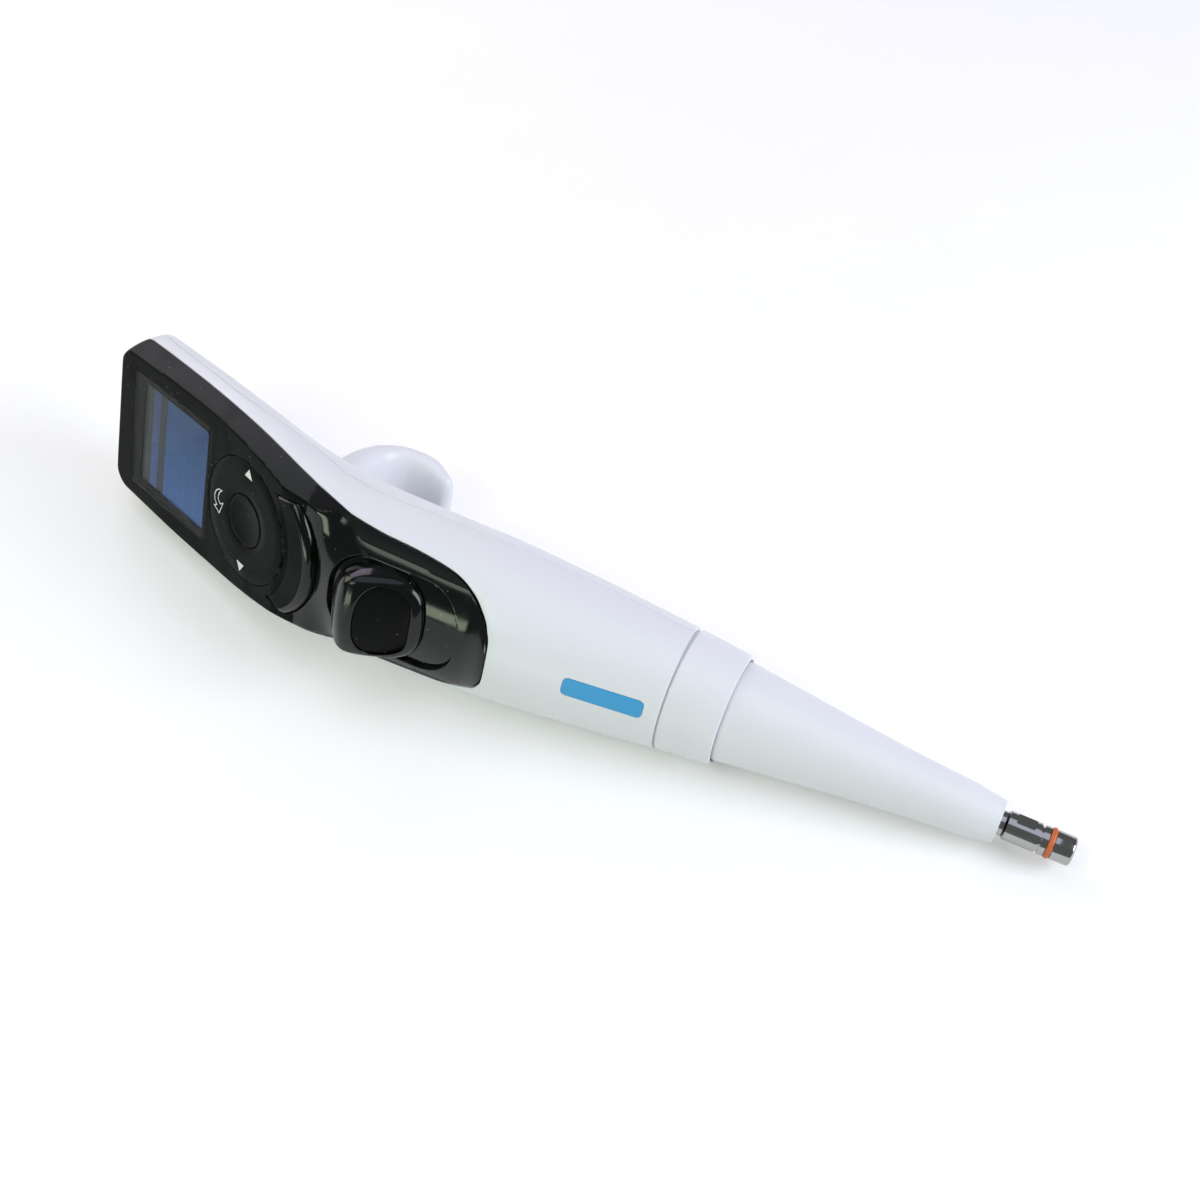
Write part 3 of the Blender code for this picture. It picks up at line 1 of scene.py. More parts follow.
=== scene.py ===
# %% [markdown]
# # An electronic pipette, dressed for a studio picture
# A single-channel pipette moves a small volume of liquid: a motor in the handle pulls a piston,
# and a disposable tip sits on the chrome fitting at the end. The measured solids come from the
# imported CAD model. This script gives them their visible surfaces: closer meshes where the light
# shows every step in a surface, and a finish for every node, also for those inside.

# %% Load the measured model
import json
import math

import bmesh
import bpy
import numpy as np
from mathutils import Matrix, Vector
from mathutils.bvhtree import BVHTree

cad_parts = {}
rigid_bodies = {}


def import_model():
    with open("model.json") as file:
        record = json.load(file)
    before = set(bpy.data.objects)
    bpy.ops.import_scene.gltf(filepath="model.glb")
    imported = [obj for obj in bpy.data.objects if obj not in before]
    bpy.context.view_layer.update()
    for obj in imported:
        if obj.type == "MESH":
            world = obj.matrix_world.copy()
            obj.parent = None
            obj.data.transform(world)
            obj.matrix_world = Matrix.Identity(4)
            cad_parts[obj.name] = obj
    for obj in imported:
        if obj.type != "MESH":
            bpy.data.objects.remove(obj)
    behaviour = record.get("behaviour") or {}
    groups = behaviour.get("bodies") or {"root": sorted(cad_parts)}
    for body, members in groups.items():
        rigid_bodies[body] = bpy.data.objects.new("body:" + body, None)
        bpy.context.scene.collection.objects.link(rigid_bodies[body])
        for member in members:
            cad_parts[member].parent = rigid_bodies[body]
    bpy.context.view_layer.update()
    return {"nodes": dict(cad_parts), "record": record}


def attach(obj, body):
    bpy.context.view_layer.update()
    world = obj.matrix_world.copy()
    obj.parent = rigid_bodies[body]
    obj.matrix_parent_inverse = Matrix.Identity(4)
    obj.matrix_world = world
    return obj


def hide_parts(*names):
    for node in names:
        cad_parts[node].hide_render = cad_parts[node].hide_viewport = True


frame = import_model()

# %% [markdown]
# ## The pipette's own axes
# The model lies on its side in the frame, a little rolled and nose down. It is easier to think of
# a pipette standing up: Z runs from the tip's end to the head, Y points to the back and X to the
# right of the display. One matrix, `lying`, carries that upright pipette to where it lies. Its
# turns are the two angles that the CAD was laid down with, and its place follows from the mount
# at the nozzle's end.

# %% Upright axes and the way the pipette lies
LIE_ROLL = 19.45
LIE_PITCH = 5.5
NOZZLE_WALL_MIDDLE = 0.0021
TO_SIDE = Matrix(((0, 0, -1, 0), (0, 1, 0, 0), (1, 0, 0, 0), (0, 0, 0, 1)))

mounts = {mount["name"]: mount for mount in frame["record"]["mounts"]}
turned_over = (Matrix.Rotation(math.radians(LIE_PITCH), 4, "Y") @ TO_SIDE
               @ Matrix.Rotation(math.radians(LIE_ROLL), 4, "Z"))
on_end = turned_over @ Vector((NOZZLE_WALL_MIDDLE, 0.0, 0.0))
lying = Matrix.Translation(Vector(mounts["nozzle_end"]["pos_m"]) - on_end) @ turned_over
print("upright origin lies at", [round(value, 4) for value in lying.translation])

# %% [markdown]
# ## The camera
# A picture's viewing angle is found by matching known points, such as seams and corners, with
# their pixels. The result is a place and three directions in the pipette's own axes, and a lens.
# The camera comes first, so that each later step can be looked at from the right side.

# %% Camera
CAMERA_PLACE = Vector((0.2482, -0.3345, 0.0396))
CAMERA_RIGHT = Vector((0.2, 0.374, -0.906))
CAMERA_BACK = Vector((0.558, -0.803, -0.208))
LENS = 50.95

back = CAMERA_BACK.normalized()
up = back.cross(CAMERA_RIGHT.normalized()).normalized()
right = up.cross(back)
aim = Matrix.Identity(4)
aim.col[0].xyz = right
aim.col[1].xyz = up
aim.col[2].xyz = back
aim.col[3].xyz = CAMERA_PLACE

camera_data = bpy.data.cameras.new("studio_camera")
camera_data.lens = LENS
camera_data.sensor_width = 36.0
camera_data.clip_start = 0.01
camera = bpy.data.objects.new("studio_camera", camera_data)
bpy.context.collection.objects.link(camera)
camera.matrix_world = lying @ aim
bpy.context.scene.camera = camera
print("camera at", [round(value, 3) for value in camera.matrix_world.translation])

# %% [markdown]
# ## Numbers of the body
# The handle is one long skin: sections along a spine that is straight, bends back, and is
# straight again in the head. The same named sizes made the CAD solids, at fewer sections. Here
# the sections lie about a millimetre apart, so that reflections run over them without steps.

# %% Sizes of the skin
BODY_BOTTOM_Z = 0.1018
BODY_LEAN = math.radians(-1.62)
HEAD_TILT = 24.06
BEND_Y = -0.0029
BEND_Z = 0.2033
BEND_RADIUS = 0.0700
HEAD_TOP = 0.0605
HEAD_CORNER = 0.0050
HEAD_EQUATOR_DEPTH = 0.0100
BODY_STATIONS = (
    (0.000, 0.0160, 0.0160, 0.0160, 2.00),
    (0.014, 0.0174, 0.0177, 0.0173, 2.00),
    (0.028, 0.0186, 0.0194, 0.0187, 2.00),
    (0.049, 0.0203, 0.0214, 0.0199, 2.00),
    (0.066, 0.0209, 0.0215, 0.0200, 2.00),
    (0.084, 0.0216, 0.0212, 0.0200, 2.05),
    (0.104, 0.0230, 0.0216, 0.0181, 2.15),
    (0.123, 0.0247, 0.0226, 0.0130, 2.30),
    (0.143, 0.0252, 0.0230, 0.0100, 2.40),
    (0.163, 0.0247, 0.0230, 0.0085, 2.40),
    (0.180, 0.0238, 0.0230, 0.0076, 2.40),
)
KEYS_TILT = 26.0
WHEEL_Y = -0.0052
WHEEL_Z = 0.2226
DISPLAY_TILT = 22.5
DISPLAY_Y = 0.0090
DISPLAY_Z = 0.2544
PANEL_LINE = (
    (-0.0330, 0.1300), (-0.0268, 0.1395), (-0.0226, 0.1455), (-0.0203, 0.1495),
    (-0.0193, 0.1535), (-0.0193, 0.1620), (-0.0193, 0.1730), (-0.0193, 0.1840),
    (-0.0184, 0.1885), (-0.0166, 0.1925), (-0.0147, 0.1965), (-0.0134, 0.2005),
    (-0.0127, 0.2045), (-0.0118, 0.2090),
)
PANEL_CROWN_RADIUS = 0.0300
CROWN_END_Z = 0.1890
CROWN_FADE = 0.0100
PANEL_EDGE_DEPTH = 0.0058
PANEL_EDGE = (
    (-0.0330, 0.1428), (-0.0228, 0.1446), (-0.0200, 0.1466), (-0.0180, 0.1492),
    (-0.0158, 0.1530), (-0.0138, 0.1600), (-0.0128, 0.1700), (-0.0124, 0.1815),
    (-0.0112, 0.1910), (-0.0082, 0.2010),
)
SHELL_PARTING = (
    (0.0026, 0.0950), (0.0028, 0.1100), (0.0030, 0.1280), (0.0009, 0.1650),
    (-0.0008, 0.1830), (0.0004, 0.1980), (0.0049, 0.2100), (0.0109, 0.2336),
    (0.0193, 0.2540), (0.0284, 0.2733), (0.0350, 0.2880),
)
print("stations along the body:", len(BODY_STATIONS))

# %% [markdown]
# ## Curves through named points
# Two kinds of smooth curve are used: one that passes through side-view points, and one that
# reads the width or roundness of the body between two stations. Both keep the slope across a
# point, so no edge shows where one span ends and the next begins.

# %% Curve helpers


def smooth_curve(points, steps):
    """Points along a Catmull-Rom curve through the given points."""
    points = np.array(points, float)
    padded = np.vstack([2 * points[0] - points[1], points, 2 * points[-1] - points[-2]])
    share = np.arange(steps)[:, None] / steps
    spans = []
    for index in range(len(points) - 1):
        a, b, c, d = padded[index:index + 4]
        spans.append(0.5 * (2 * b + (c - a) * share + (2 * a - 5 * b + 4 * c - d) * share ** 2
                            + (3 * b - a - 3 * c + d) * share ** 3))
    return np.vstack(spans + [points[-1:]])


def read_row(rows, position):
    """Values at a position, from rows whose first entry is the position, by smooth steps."""
    index = 0
    while index < len(rows) - 2 and position > rows[index + 1][0]:
        index += 1
    lower = np.array(rows[index])
    upper = np.array(rows[index + 1])
    before = np.array(rows[max(index - 1, 0)])
    after = np.array(rows[min(index + 2, len(rows) - 1)])
    span = upper[0] - lower[0]
    t = (position - lower[0]) / span
    slope_in = (upper - before) / (upper[0] - before[0]) * span
    slope_out = (after - lower) / (after[0] - lower[0]) * span
    rise = upper - lower
    value = (lower + slope_in * t + (3 * rise - 2 * slope_in - slope_out) * t * t
             + (slope_in + slope_out - 2 * rise) * t ** 3)
    return value[1:]


half_way = read_row(BODY_STATIONS, 0.09)[:3]
print("half width, front and back half way up:", np.round(half_way * 1000, 1), "mm")

# %% [markdown]
# ## Planes of the face
# The head's front is made of flat planes, each leaning back by its own angle. A small matrix for
# each plane lets the wheel, the display and their openings be drawn flat, in the plane's own
# axes, and then laid where they belong.

# %% Planes of the face


def plane_frame(y, z, tilt):
    """Axes of a face that leans back by tilt: X right, Y up the face, Z out of it."""
    angle = math.radians(tilt)
    axes = Matrix.Identity(4)
    axes.col[0].xyz = Vector((1.0, 0.0, 0.0))
    axes.col[1].xyz = Vector((0.0, math.sin(angle), math.cos(angle)))
    axes.col[2].xyz = Vector((0.0, -math.cos(angle), math.sin(angle)))
    axes.col[3].xyz = Vector((0.0, y, z))
    return axes


KEYS = plane_frame(WHEEL_Y, WHEEL_Z, KEYS_TILT)
DISPLAY = plane_frame(DISPLAY_Y, DISPLAY_Z, DISPLAY_TILT)
HEAD = plane_frame(WHEEL_Y, WHEEL_Z, HEAD_TILT)
FRONT = Matrix(((1, 0, 0, 0), (0, 0, -1, 0), (0, 1, 0, 0), (0, 0, 0, 1)))
UPRIGHT = Matrix.Identity(4)


def in_plane(points, axes):
    """Coordinates of points in a plane's own axes."""
    inverse = np.array(axes.inverted())
    return points @ inverse[:3, :3].T + inverse[:3, 3]


def from_plane(points, axes):
    """Points given in a plane's own axes, as points of the upright pipette."""
    forward = np.array(axes)
    return np.asarray(points, float) @ forward[:3, :3].T + forward[:3, 3]


print("wheel's centre:", [round(value, 4) for value in KEYS.translation])

# %% [markdown]
# ## The face line
# Seen from the side, the front of the dark panel is one line: two flat planes in the head, a
# short neck, a shallow hollow for the ejector, and a steep lip at the lower end. The line is
# kept as a table of a tenth of a millimetre and softened a little, as a moulded part is.

# %% The front of the body in side view
TABLE_STEP = 0.0001
SOFTENING_STEPS = 19
NECK_TOP_Z = 0.205
face_curve = smooth_curve(PANEL_LINE, 40)
table_z = np.arange(0.120, 0.290, TABLE_STEP)
keys_line = WHEEL_Y + (table_z - WHEEL_Z) * math.tan(math.radians(KEYS_TILT))
display_line = DISPLAY_Y + (table_z - DISPLAY_Z) * math.tan(math.radians(DISPLAY_TILT))
low_line = np.interp(table_z, face_curve[:, 1], face_curve[:, 0])
table_y = np.where(table_z >= PANEL_LINE[-1][1], np.minimum(keys_line, display_line), low_line)
soft = np.hanning(SOFTENING_STEPS) / np.hanning(SOFTENING_STEPS).sum()
padded_y = np.pad(table_y, SOFTENING_STEPS // 2, mode="edge")
softened = np.convolve(padded_y, soft, mode="valid")
table_y = np.where(table_z < NECK_TOP_Z, softened, table_y)
table_slope = np.gradient(table_y, TABLE_STEP)


def face_at(x, z):
    """Y of the panel's face, which is crowned across its lower part."""
    fade = np.clip((CROWN_END_Z + CROWN_FADE - z) / CROWN_FADE, 0.0, 1.0)
    fade = fade * fade * (3 - 2 * fade)
    return np.interp(z, table_z, table_y) + fade * x * x / (2 * PANEL_CROWN_RADIUS)


print("face at the wheel:", round(float(face_at(0.0, WHEEL_Z)) * 1000, 2), "mm")

# %% [markdown]
# ## One skin for all the shells
# On the real pipette the white shells and the dark panel meet flush, because one surface was
# drawn and then split into parts. The same is done here: a dense grid of points goes round the
# body at every millimetre, and each part is later cut out of it along its seam. Modelling the
# parts one by one would leave small steps at every joint.

# %% Spine of the body
TILT = math.radians(HEAD_TILT)
BEND_TANGENT = BEND_RADIUS * math.tan((TILT - BODY_LEAN) / 2)
LOWER_LENGTH = (BEND_Z - BODY_BOTTOM_Z) / math.cos(BODY_LEAN) - BEND_TANGENT
BEND_LENGTH = BEND_RADIUS * (TILT - BODY_LEAN)


def along(angle, distance):
    """A run in side view, leaning back by an angle from straight up."""
    return np.array((math.sin(angle), math.cos(angle))) * distance


def spine(length):
    """Side-view point on the spine and its lean, at a length from the body's lower end."""
    corner = np.array((BEND_Y, BEND_Z))
    if length < LOWER_LENGTH:
        return corner - along(BODY_LEAN, LOWER_LENGTH + BEND_TANGENT - length), BODY_LEAN
    if length > LOWER_LENGTH + BEND_LENGTH:
        return corner + along(TILT, length - LOWER_LENGTH - BEND_LENGTH + BEND_TANGENT), TILT
    angle = BODY_LEAN + (length - LOWER_LENGTH) / BEND_RADIUS
    quarter = math.pi / 2
    centre = corner - along(BODY_LEAN, BEND_TANGENT) + along(BODY_LEAN + quarter, BEND_RADIUS)
    return centre - along(angle + quarter, BEND_RADIUS), angle


foot = HEAD @ Vector((0.0, 0.0, -HEAD_EQUATOR_DEPTH))
foot_run = (np.array((foot.y, foot.z)) - np.array((BEND_Y, BEND_Z))) @ along(TILT, 1.0)
BODY_LENGTH = LOWER_LENGTH + BEND_LENGTH + foot_run - BEND_TANGENT + HEAD_TOP
print("length of the body along its spine:", round(BODY_LENGTH * 1000, 1), "mm")

# %% [markdown]
# ## Sections of the skin
# Each section is an oval: a round front and a back that grows squarer towards the head. Where the
# oval reaches past the face line, it is cut off there, with a small soft crease. The far end is
# rounded by drawing the last sections in.

# %% Sections of the skin
FRONT_TURNS = 104
BACK_TURNS = 60
HEAD_CREASE = 0.0005
RIDGE_CREASE = 0.0012
CREASE_CHANGE = 0.088
CREASE_CHANGE_RUN = 0.015
FACE_EDGE = 0.0008
section_turns = np.radians(np.concatenate([
    -180 + 180 * np.arange(FRONT_TURNS) / FRONT_TURNS, 180 * np.arange(BACK_TURNS) / BACK_TURNS]))


def section(length, share=1.0):
    """Points round the body at a length; a share below 1 draws them in over the flat end."""
    place, angle = spine(length)
    width, front, behind, roundness = read_row(BODY_STATIONS,
                                               min(max(length, 0.0), BODY_STATIONS[-1][0]))
    into = max(length - (BODY_LENGTH - HEAD_CORNER), 0.0)
    drawn_in = HEAD_CORNER - math.sqrt(max(HEAD_CORNER ** 2 - into ** 2, 0.0))
    into = max(length - (BODY_LENGTH - FACE_EDGE), 0.0)
    sunk = FACE_EDGE - math.sqrt(max(FACE_EDGE ** 2 - into ** 2, 0.0))
    in_front = section_turns < 0
    power = np.where(in_front, 2.0, roundness)
    reach = np.where(in_front, front, behind) - drawn_in
    cosine = np.cos(section_turns)
    sine = np.sin(section_turns)
    x = (width - drawn_in) * np.sign(cosine) * np.abs(cosine) ** (2 / power)
    q = reach * np.sign(sine) * np.abs(sine) ** (2 / power)
    depth = np.full_like(x, -front * 0.6)
    for _ in range(6):
        y = place[0] + depth * math.cos(angle)
        z = place[1] - depth * math.sin(angle)
        slope = np.interp(z, table_z, table_slope)
        limit = face_at(x, z) + sunk
        depth -= (y - limit) / (math.cos(angle) + slope * math.sin(angle))
    changed = min(max((length - CREASE_CHANGE) / CREASE_CHANGE_RUN, 0.0), 1.0)
    softness = RIDGE_CREASE + (HEAD_CREASE - RIDGE_CREASE) * changed
    past = q - depth
    q = depth + 0.5 * (past + np.sqrt(past * past + softness * softness))
    middle = (q.min() + q.max()) / 2
    x = x * share
    q = middle + (q - middle) * share
    return np.stack([x, place[0] + q * math.cos(angle), place[1] - q * math.sin(angle)], axis=1)


print("points round a section:", len(section_turns))

# %% Stack the sections into the skin
SEAM_LOWER = 0.0001
corner_start = BODY_LENGTH - HEAD_CORNER
lengths = list(np.linspace(SEAM_LOWER, corner_start, 178))
lengths += [corner_start + HEAD_CORNER * math.sin(math.radians(turn))
            for turn in (10, 20, 30, 40, 50, 58, 64, 70)]
lengths += [BODY_LENGTH - FACE_EDGE * (1 - math.sin(math.radians(turn)))
            for turn in (25, 40, 55, 70, 90)]
lengths = sorted(set(lengths))
rows = [section(length) for length in lengths]
rows += [section(BODY_LENGTH, share) for share in (0.96, 0.88, 0.7, 0.45, 0.2, 0.02)]
grid = np.array(rows)
print("skin grid:", grid.shape[0], "sections of", grid.shape[1], "points")

# %% [markdown]
# ## Cutting a part out of the skin
# A field is a function that says how far each point lies inside a seam: above zero the skin is
# kept. Where the sign changes along an edge, the edge is cut there, so the seam runs smoothly
# across the grid and not in steps. It is the same idea as a contour line on a map.

# %% Triangles of the whole skin


def point_normals(points, triangles):
    """Normal of each point, from the triangles round it, each weighted by its area."""
    corners = points[triangles]
    cross = np.cross(corners[:, 1] - corners[:, 0], corners[:, 2] - corners[:, 0])
    normals = np.zeros_like(points)
    for corner in range(3):
        np.add.at(normals, triangles[:, corner], cross)
    size = np.linalg.norm(normals, axis=1, keepdims=True)
    return normals / np.maximum(size, 1e-12)


def grid_patch(grid):
    """Triangles between the sections, closed round the body and at its far end."""
    count, around = grid.shape[:2]
    points = np.vstack([grid.reshape(-1, 3), grid[-1].mean(axis=0)])
    row, turn = np.meshgrid(np.arange(count - 1), np.arange(around), indexing="ij")
    a = (row * around + turn).ravel()
    b = (row * around + (turn + 1) % around).ravel()
    c = b + around
    d = a + around
    last = (count - 1) * around + np.arange(around)
    fan = np.stack([last, np.roll(last, -1), np.full(around, len(points) - 1)], axis=1)
    triangles = np.vstack([np.stack([a, b, c], 1), np.stack([a, c, d], 1), fan])
    normals = point_normals(points, triangles)
    outward = points[:around] - points[:around].mean(axis=0)
    if np.sum(outward * normals[:around]) < 0:
        triangles = triangles[:, ::-1]
        normals = -normals
    return points, normals, triangles


skin = grid_patch(grid)
print("skin:", len(skin[0]), "points,", len(skin[2]), "triangles")

# %% Cut a patch where a field changes sign


def compact(points, normals, triangles):
    """Leave out points that no triangle uses."""
    used, places = np.unique(triangles, return_inverse=True)
    return points[used], normals[used], places.reshape(-1, 3)


def clip(patch, field):
    """The part of a patch where the field is above zero."""
    points, normals, triangles = patch
    value = field(points)
    value = np.where(np.abs(value) < 1e-9, 1e-9, value)
    inside = value > 0
    count = inside[triangles].sum(axis=1)
    whole = triangles[count == 3]
    crossed = triangles[(count == 1) | (count == 2)]
    state = inside[crossed]
    lone_state = (count[(count == 1) | (count == 2)] == 1)[:, None]
    lone = np.argmax(state == lone_state, axis=1)
    index = np.arange(len(crossed))
    a = crossed[index, lone]
    b = crossed[index, (lone + 1) % 3]
    c = crossed[index, (lone + 2) % 3]
    pairs = np.vstack([np.sort(np.stack([a, b], 1), axis=1), np.sort(np.stack([a, c], 1), axis=1)])
    edges, places = np.unique(pairs, axis=0, return_inverse=True)
    places = places.ravel() + len(points)
    start, end = points[edges[:, 0]], points[edges[:, 1]]
    low, high = np.zeros(len(edges)), np.ones(len(edges))
    low_value, high_value = value[edges[:, 0]].copy(), value[edges[:, 1]].copy()
    for _ in range(4):
        t = low + (high - low) * np.clip(low_value / (low_value - high_value), 0.02, 0.98)
        here = field(start + (end - start) * t[:, None])
        same = (here > 0) == (low_value > 0)
        low, low_value = np.where(same, t, low), np.where(same, here, low_value)
        high, high_value = np.where(same, high, t), np.where(same, high_value, here)
    t = (low + (high - low) * low_value / (low_value - high_value))[:, None]
    new_points = start + (end - start) * t
    new_normals = normals[edges[:, 0]] * (1 - t) + normals[edges[:, 1]] * t
    new_normals /= np.linalg.norm(new_normals, axis=1, keepdims=True)
    ab, ac = places[:len(a)], places[len(a):]
    tip_kept = lone_state.ravel()
    pieces = [whole, np.stack([a, ab, ac], 1)[tip_kept]]
    pieces += [np.stack([ab, b, c], 1)[~tip_kept], np.stack([ab, c, ac], 1)[~tip_kept]]
    return compact(np.vstack([points, new_points]), np.vstack([normals, new_normals]),
                   np.vstack(pieces))


front_half = clip(skin, lambda points: -points[:, 1])
print("triangles in front of the upright axis:", len(front_half[2]))

# %% [markdown]
# ## Seams as distances
# Most seams are one of four kinds: a line in side view, a rounded rectangle, a circle or a free
# outline, each drawn in a plane. A function for each kind returns a field that measures the
# distance to the seam, so a gap of any width is only a number taken off.

# %% Fields: how far a point lies inside a seam


def in_front_of(line):
    """Distance in front of a side-view line that runs upwards, negative behind it."""
    start, end = line[:-1], line[1:]
    run = end - start
    size = np.linalg.norm(run, axis=1)

    def field(points):
        place = points[:, None, 1:]
        t = np.clip(np.sum((place - start) * run, axis=2) / size ** 2, 0.0, 1.0)
        gap = place - (start + run * t[..., None])
        away = np.linalg.norm(gap, axis=2)
        nearest = np.argmin(away, axis=1)
        index = np.arange(len(points))
        side = (gap[index, nearest, 0] * run[nearest, 1] - gap[index, nearest, 1]
                * run[nearest, 0])
        return -np.copysign(away[index, nearest], side)
    return field


def outside_rectangle(axes, low, high, corner):
    """Distance outside a rounded rectangle that lies in a plane's own axes."""
    low, high = np.array(low), np.array(high)

    def field(points):
        flat = in_plane(points, axes)[:, :2]
        past = np.abs(flat - (low + high) / 2) - (high - low) / 2 + corner
        outer = np.linalg.norm(np.maximum(past, 0.0), axis=1)
        return outer + np.minimum(past.max(axis=1), 0.0) - corner
    return field


def outside_circle(axes, radius):
    """Distance outside a circle about a plane's origin."""
    def field(points):
        flat = in_plane(points, axes)[:, :2]
        return np.hypot(flat[:, 0], flat[:, 1]) - radius
    return field


centre_gap = outside_circle(KEYS, 0.010)(np.array([KEYS.translation]))
print("centre of a circle of 10 mm:", centre_gap * 1000, "mm outside it")

# %% Field of a free outline


def outside_outline(axes, outline):
    """Distance outside a closed outline in a plane's own axes."""
    start = np.array(outline)
    run = np.roll(start, -1, axis=0) - start
    size = np.sum(run * run, axis=1)

    def field(points):
        flat = in_plane(points, axes)[:, None, :2]
        t = np.clip(np.sum((flat - start) * run, axis=2) / size, 0.0, 1.0)
        away = np.linalg.norm(flat - (start + run * t[..., None]), axis=2).min(axis=1)
        above = (start[:, 1] > flat[..., 1]) != (start[:, 1] + run[:, 1] > flat[..., 1])
        slope = run[:, 0] / np.where(np.abs(run[:, 1]) < 1e-12, 1e-12, run[:, 1])
        crossing = flat[..., 0] < start[:, 0] + (flat[..., 1] - start[:, 1]) * slope
        inside = np.sum(above & crossing, axis=1) % 2 == 1
        return np.where(inside, -away, away)
    return field


around_square = outside_outline(UPRIGHT, ((0, 0), (1, 0), (1, 1), (0, 1)))
print("middle of a unit square:", around_square(np.array([(0.5, 0.5, 0.0)])), "outside it")

# %% The two long seams
head_edge = [HEAD @ Vector((0.0, height, -PANEL_EDGE_DEPTH)) for height in (-0.012, 0.080)]
panel_edge = np.vstack([smooth_curve(PANEL_EDGE, 16), [(p.y, p.z) for p in head_edge]])
before_panel_edge = in_front_of(panel_edge)
before_parting = in_front_of(smooth_curve(SHELL_PARTING, 16))
print("points on the panel's edge line:", len(panel_edge))

# %% [markdown]
# ## From a patch to a moulded part
# A moulded part has a wall and a small rounded lip along each seam, and that lip is what catches
# the light beside the dark gap. So each patch gets three steps round its rim, then a wall, then
# an inner face. The result is one closed shell.

# %% Thicken a patch


def rim_edges(triangles):
    """Edges that belong to one triangle only, in the triangle's own direction."""
    edges = np.vstack([triangles[:, [0, 1]], triangles[:, [1, 2]], triangles[:, [2, 0]]])
    keys = np.sort(edges, axis=1)
    _, first, count = np.unique(keys, axis=0, return_index=True, return_counts=True)
    return edges[first[count == 1]]


def thicken(patch, depth, lip):
    """Closed shell: the patch, a rounded lip, a wall and an inner face."""
    points, normals, triangles = patch
    rim = rim_edges(triangles)
    out = np.zeros_like(points)
    run = points[rim[:, 1]] - points[rim[:, 0]]
    run /= np.maximum(np.linalg.norm(run, axis=1, keepdims=True), 1e-9)
    for end in (0, 1):
        np.add.at(out, rim[:, end], np.cross(run, normals[rim[:, end]]))
    on_rim = np.unique(rim)
    sideways = out[on_rim]
    sideways /= np.maximum(np.linalg.norm(sideways, axis=1, keepdims=True), 1e-9)
    steps = [(lip * math.sin(math.radians(turn)), lip * (1 - math.cos(math.radians(turn))))
             for turn in (30, 60, 90)]
    steps.append((lip, depth))
    place = np.full(len(points), -1)
    place[on_rim] = np.arange(len(on_rim))
    count = len(points)
    layers = [points, points - normals * depth]
    bands = [rim]
    for index, (sideway, down) in enumerate(steps):
        layers.append(points[on_rim] + sideways * sideway - normals[on_rim] * down)
        bands.append(place[rim] + 2 * count + index * len(on_rim))
    bands.append(rim + count)
    faces = [triangles, triangles[:, ::-1] + count]
    for upper, lower in zip(bands, bands[1:]):
        faces.append(np.stack([upper[:, 1], upper[:, 0], lower[:, 0]], 1))
        faces.append(np.stack([upper[:, 1], lower[:, 0], lower[:, 1]], 1))
    return np.vstack(layers), np.vstack(faces)


print("rim of the whole skin:", len(rim_edges(skin[2])), "edges")

# %% [markdown]
# ## Putting a piece in place
# Every visible piece goes through one function. It lays the points where the pipette lies, welds
# doubled points, closes what a weld leaves open, turns the faces outwards and marks the sharp
# edges.

# %% Show a piece
WELD_DISTANCE = 0.000012
LEAST_EDGE = 0.000004


def show(name, points, faces, material, body, nodes=(), slot=None, sharp=40.0):
    """A visible piece, given in the pipette's own axes and laid where it lies."""
    mesh = bpy.data.meshes.new(name)
    placed = from_plane(points, lying)
    mesh.from_pydata([tuple(point) for point in placed], [], [tuple(face) for face in faces])
    bm = bmesh.new()
    bm.from_mesh(mesh)
    bmesh.ops.remove_doubles(bm, verts=bm.verts, dist=WELD_DISTANCE)
    bmesh.ops.dissolve_degenerate(bm, edges=bm.edges, dist=LEAST_EDGE)
    loose = [edge for edge in bm.edges if len(edge.link_faces) == 1]
    bmesh.ops.holes_fill(bm, edges=loose, sides=6)
    bmesh.ops.recalc_face_normals(bm, faces=bm.faces)
    open_edges = sum(1 for edge in bm.edges if len(edge.link_faces) != 2)
    bm.to_mesh(mesh)
    bm.free()
    mesh.shade_smooth()
    mesh.set_sharp_from_angle(angle=math.radians(sharp))
    obj = bpy.data.objects.new(name, mesh)
    bpy.context.collection.objects.link(obj)
    obj.data.materials.append(material)
    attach(obj, body)
    if nodes:
        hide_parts(*nodes)
    print(f"{name}: {len(mesh.vertices)} points, {len(mesh.polygons)} faces,"
          f" {open_edges} open edges")
    return obj


print("points closer than", WELD_DISTANCE * 1e6, "micrometres are welded")

# %% [markdown]
# ## Effects shared by the finishes
# Four things are seen on nearly every surface of a used instrument: the fine grain that a mould
# leaves, dull smears from handling, specks of dust, and edges that have been rubbed a little
# lighter. Each is a node group, made once and used by the finishes; the grain gets its own scale
# in every material. Painting them by hand would need an image and a layout for each piece.

# %% Helpers for nodes


def new_group(name, inputs, outputs):
    """An empty node group with its sockets, its input node and its output node."""
    group = bpy.data.node_groups.new(name, "ShaderNodeTree")
    for label, kind, value in inputs:
        socket = group.interface.new_socket(label, in_out="INPUT", socket_type=kind)
        if value is not None:
            socket.default_value = value
    for label, kind in outputs:
        group.interface.new_socket(label, in_out="OUTPUT", socket_type=kind)
    return group, group.nodes.new("NodeGroupInput"), group.nodes.new("NodeGroupOutput")


def node(tree, kind, settings=None, values=None, links=None):
    """A node with its settings, the values of its sockets and the links into them."""
    made = tree.nodes.new(kind)
    for key, value in (settings or {}).items():
        setattr(made, key, value)
    for key, value in (values or {}).items():
        made.inputs[key].default_value = value
    for key, source in (links or {}).items():
        tree.links.new(source, made.inputs[key])
    return made


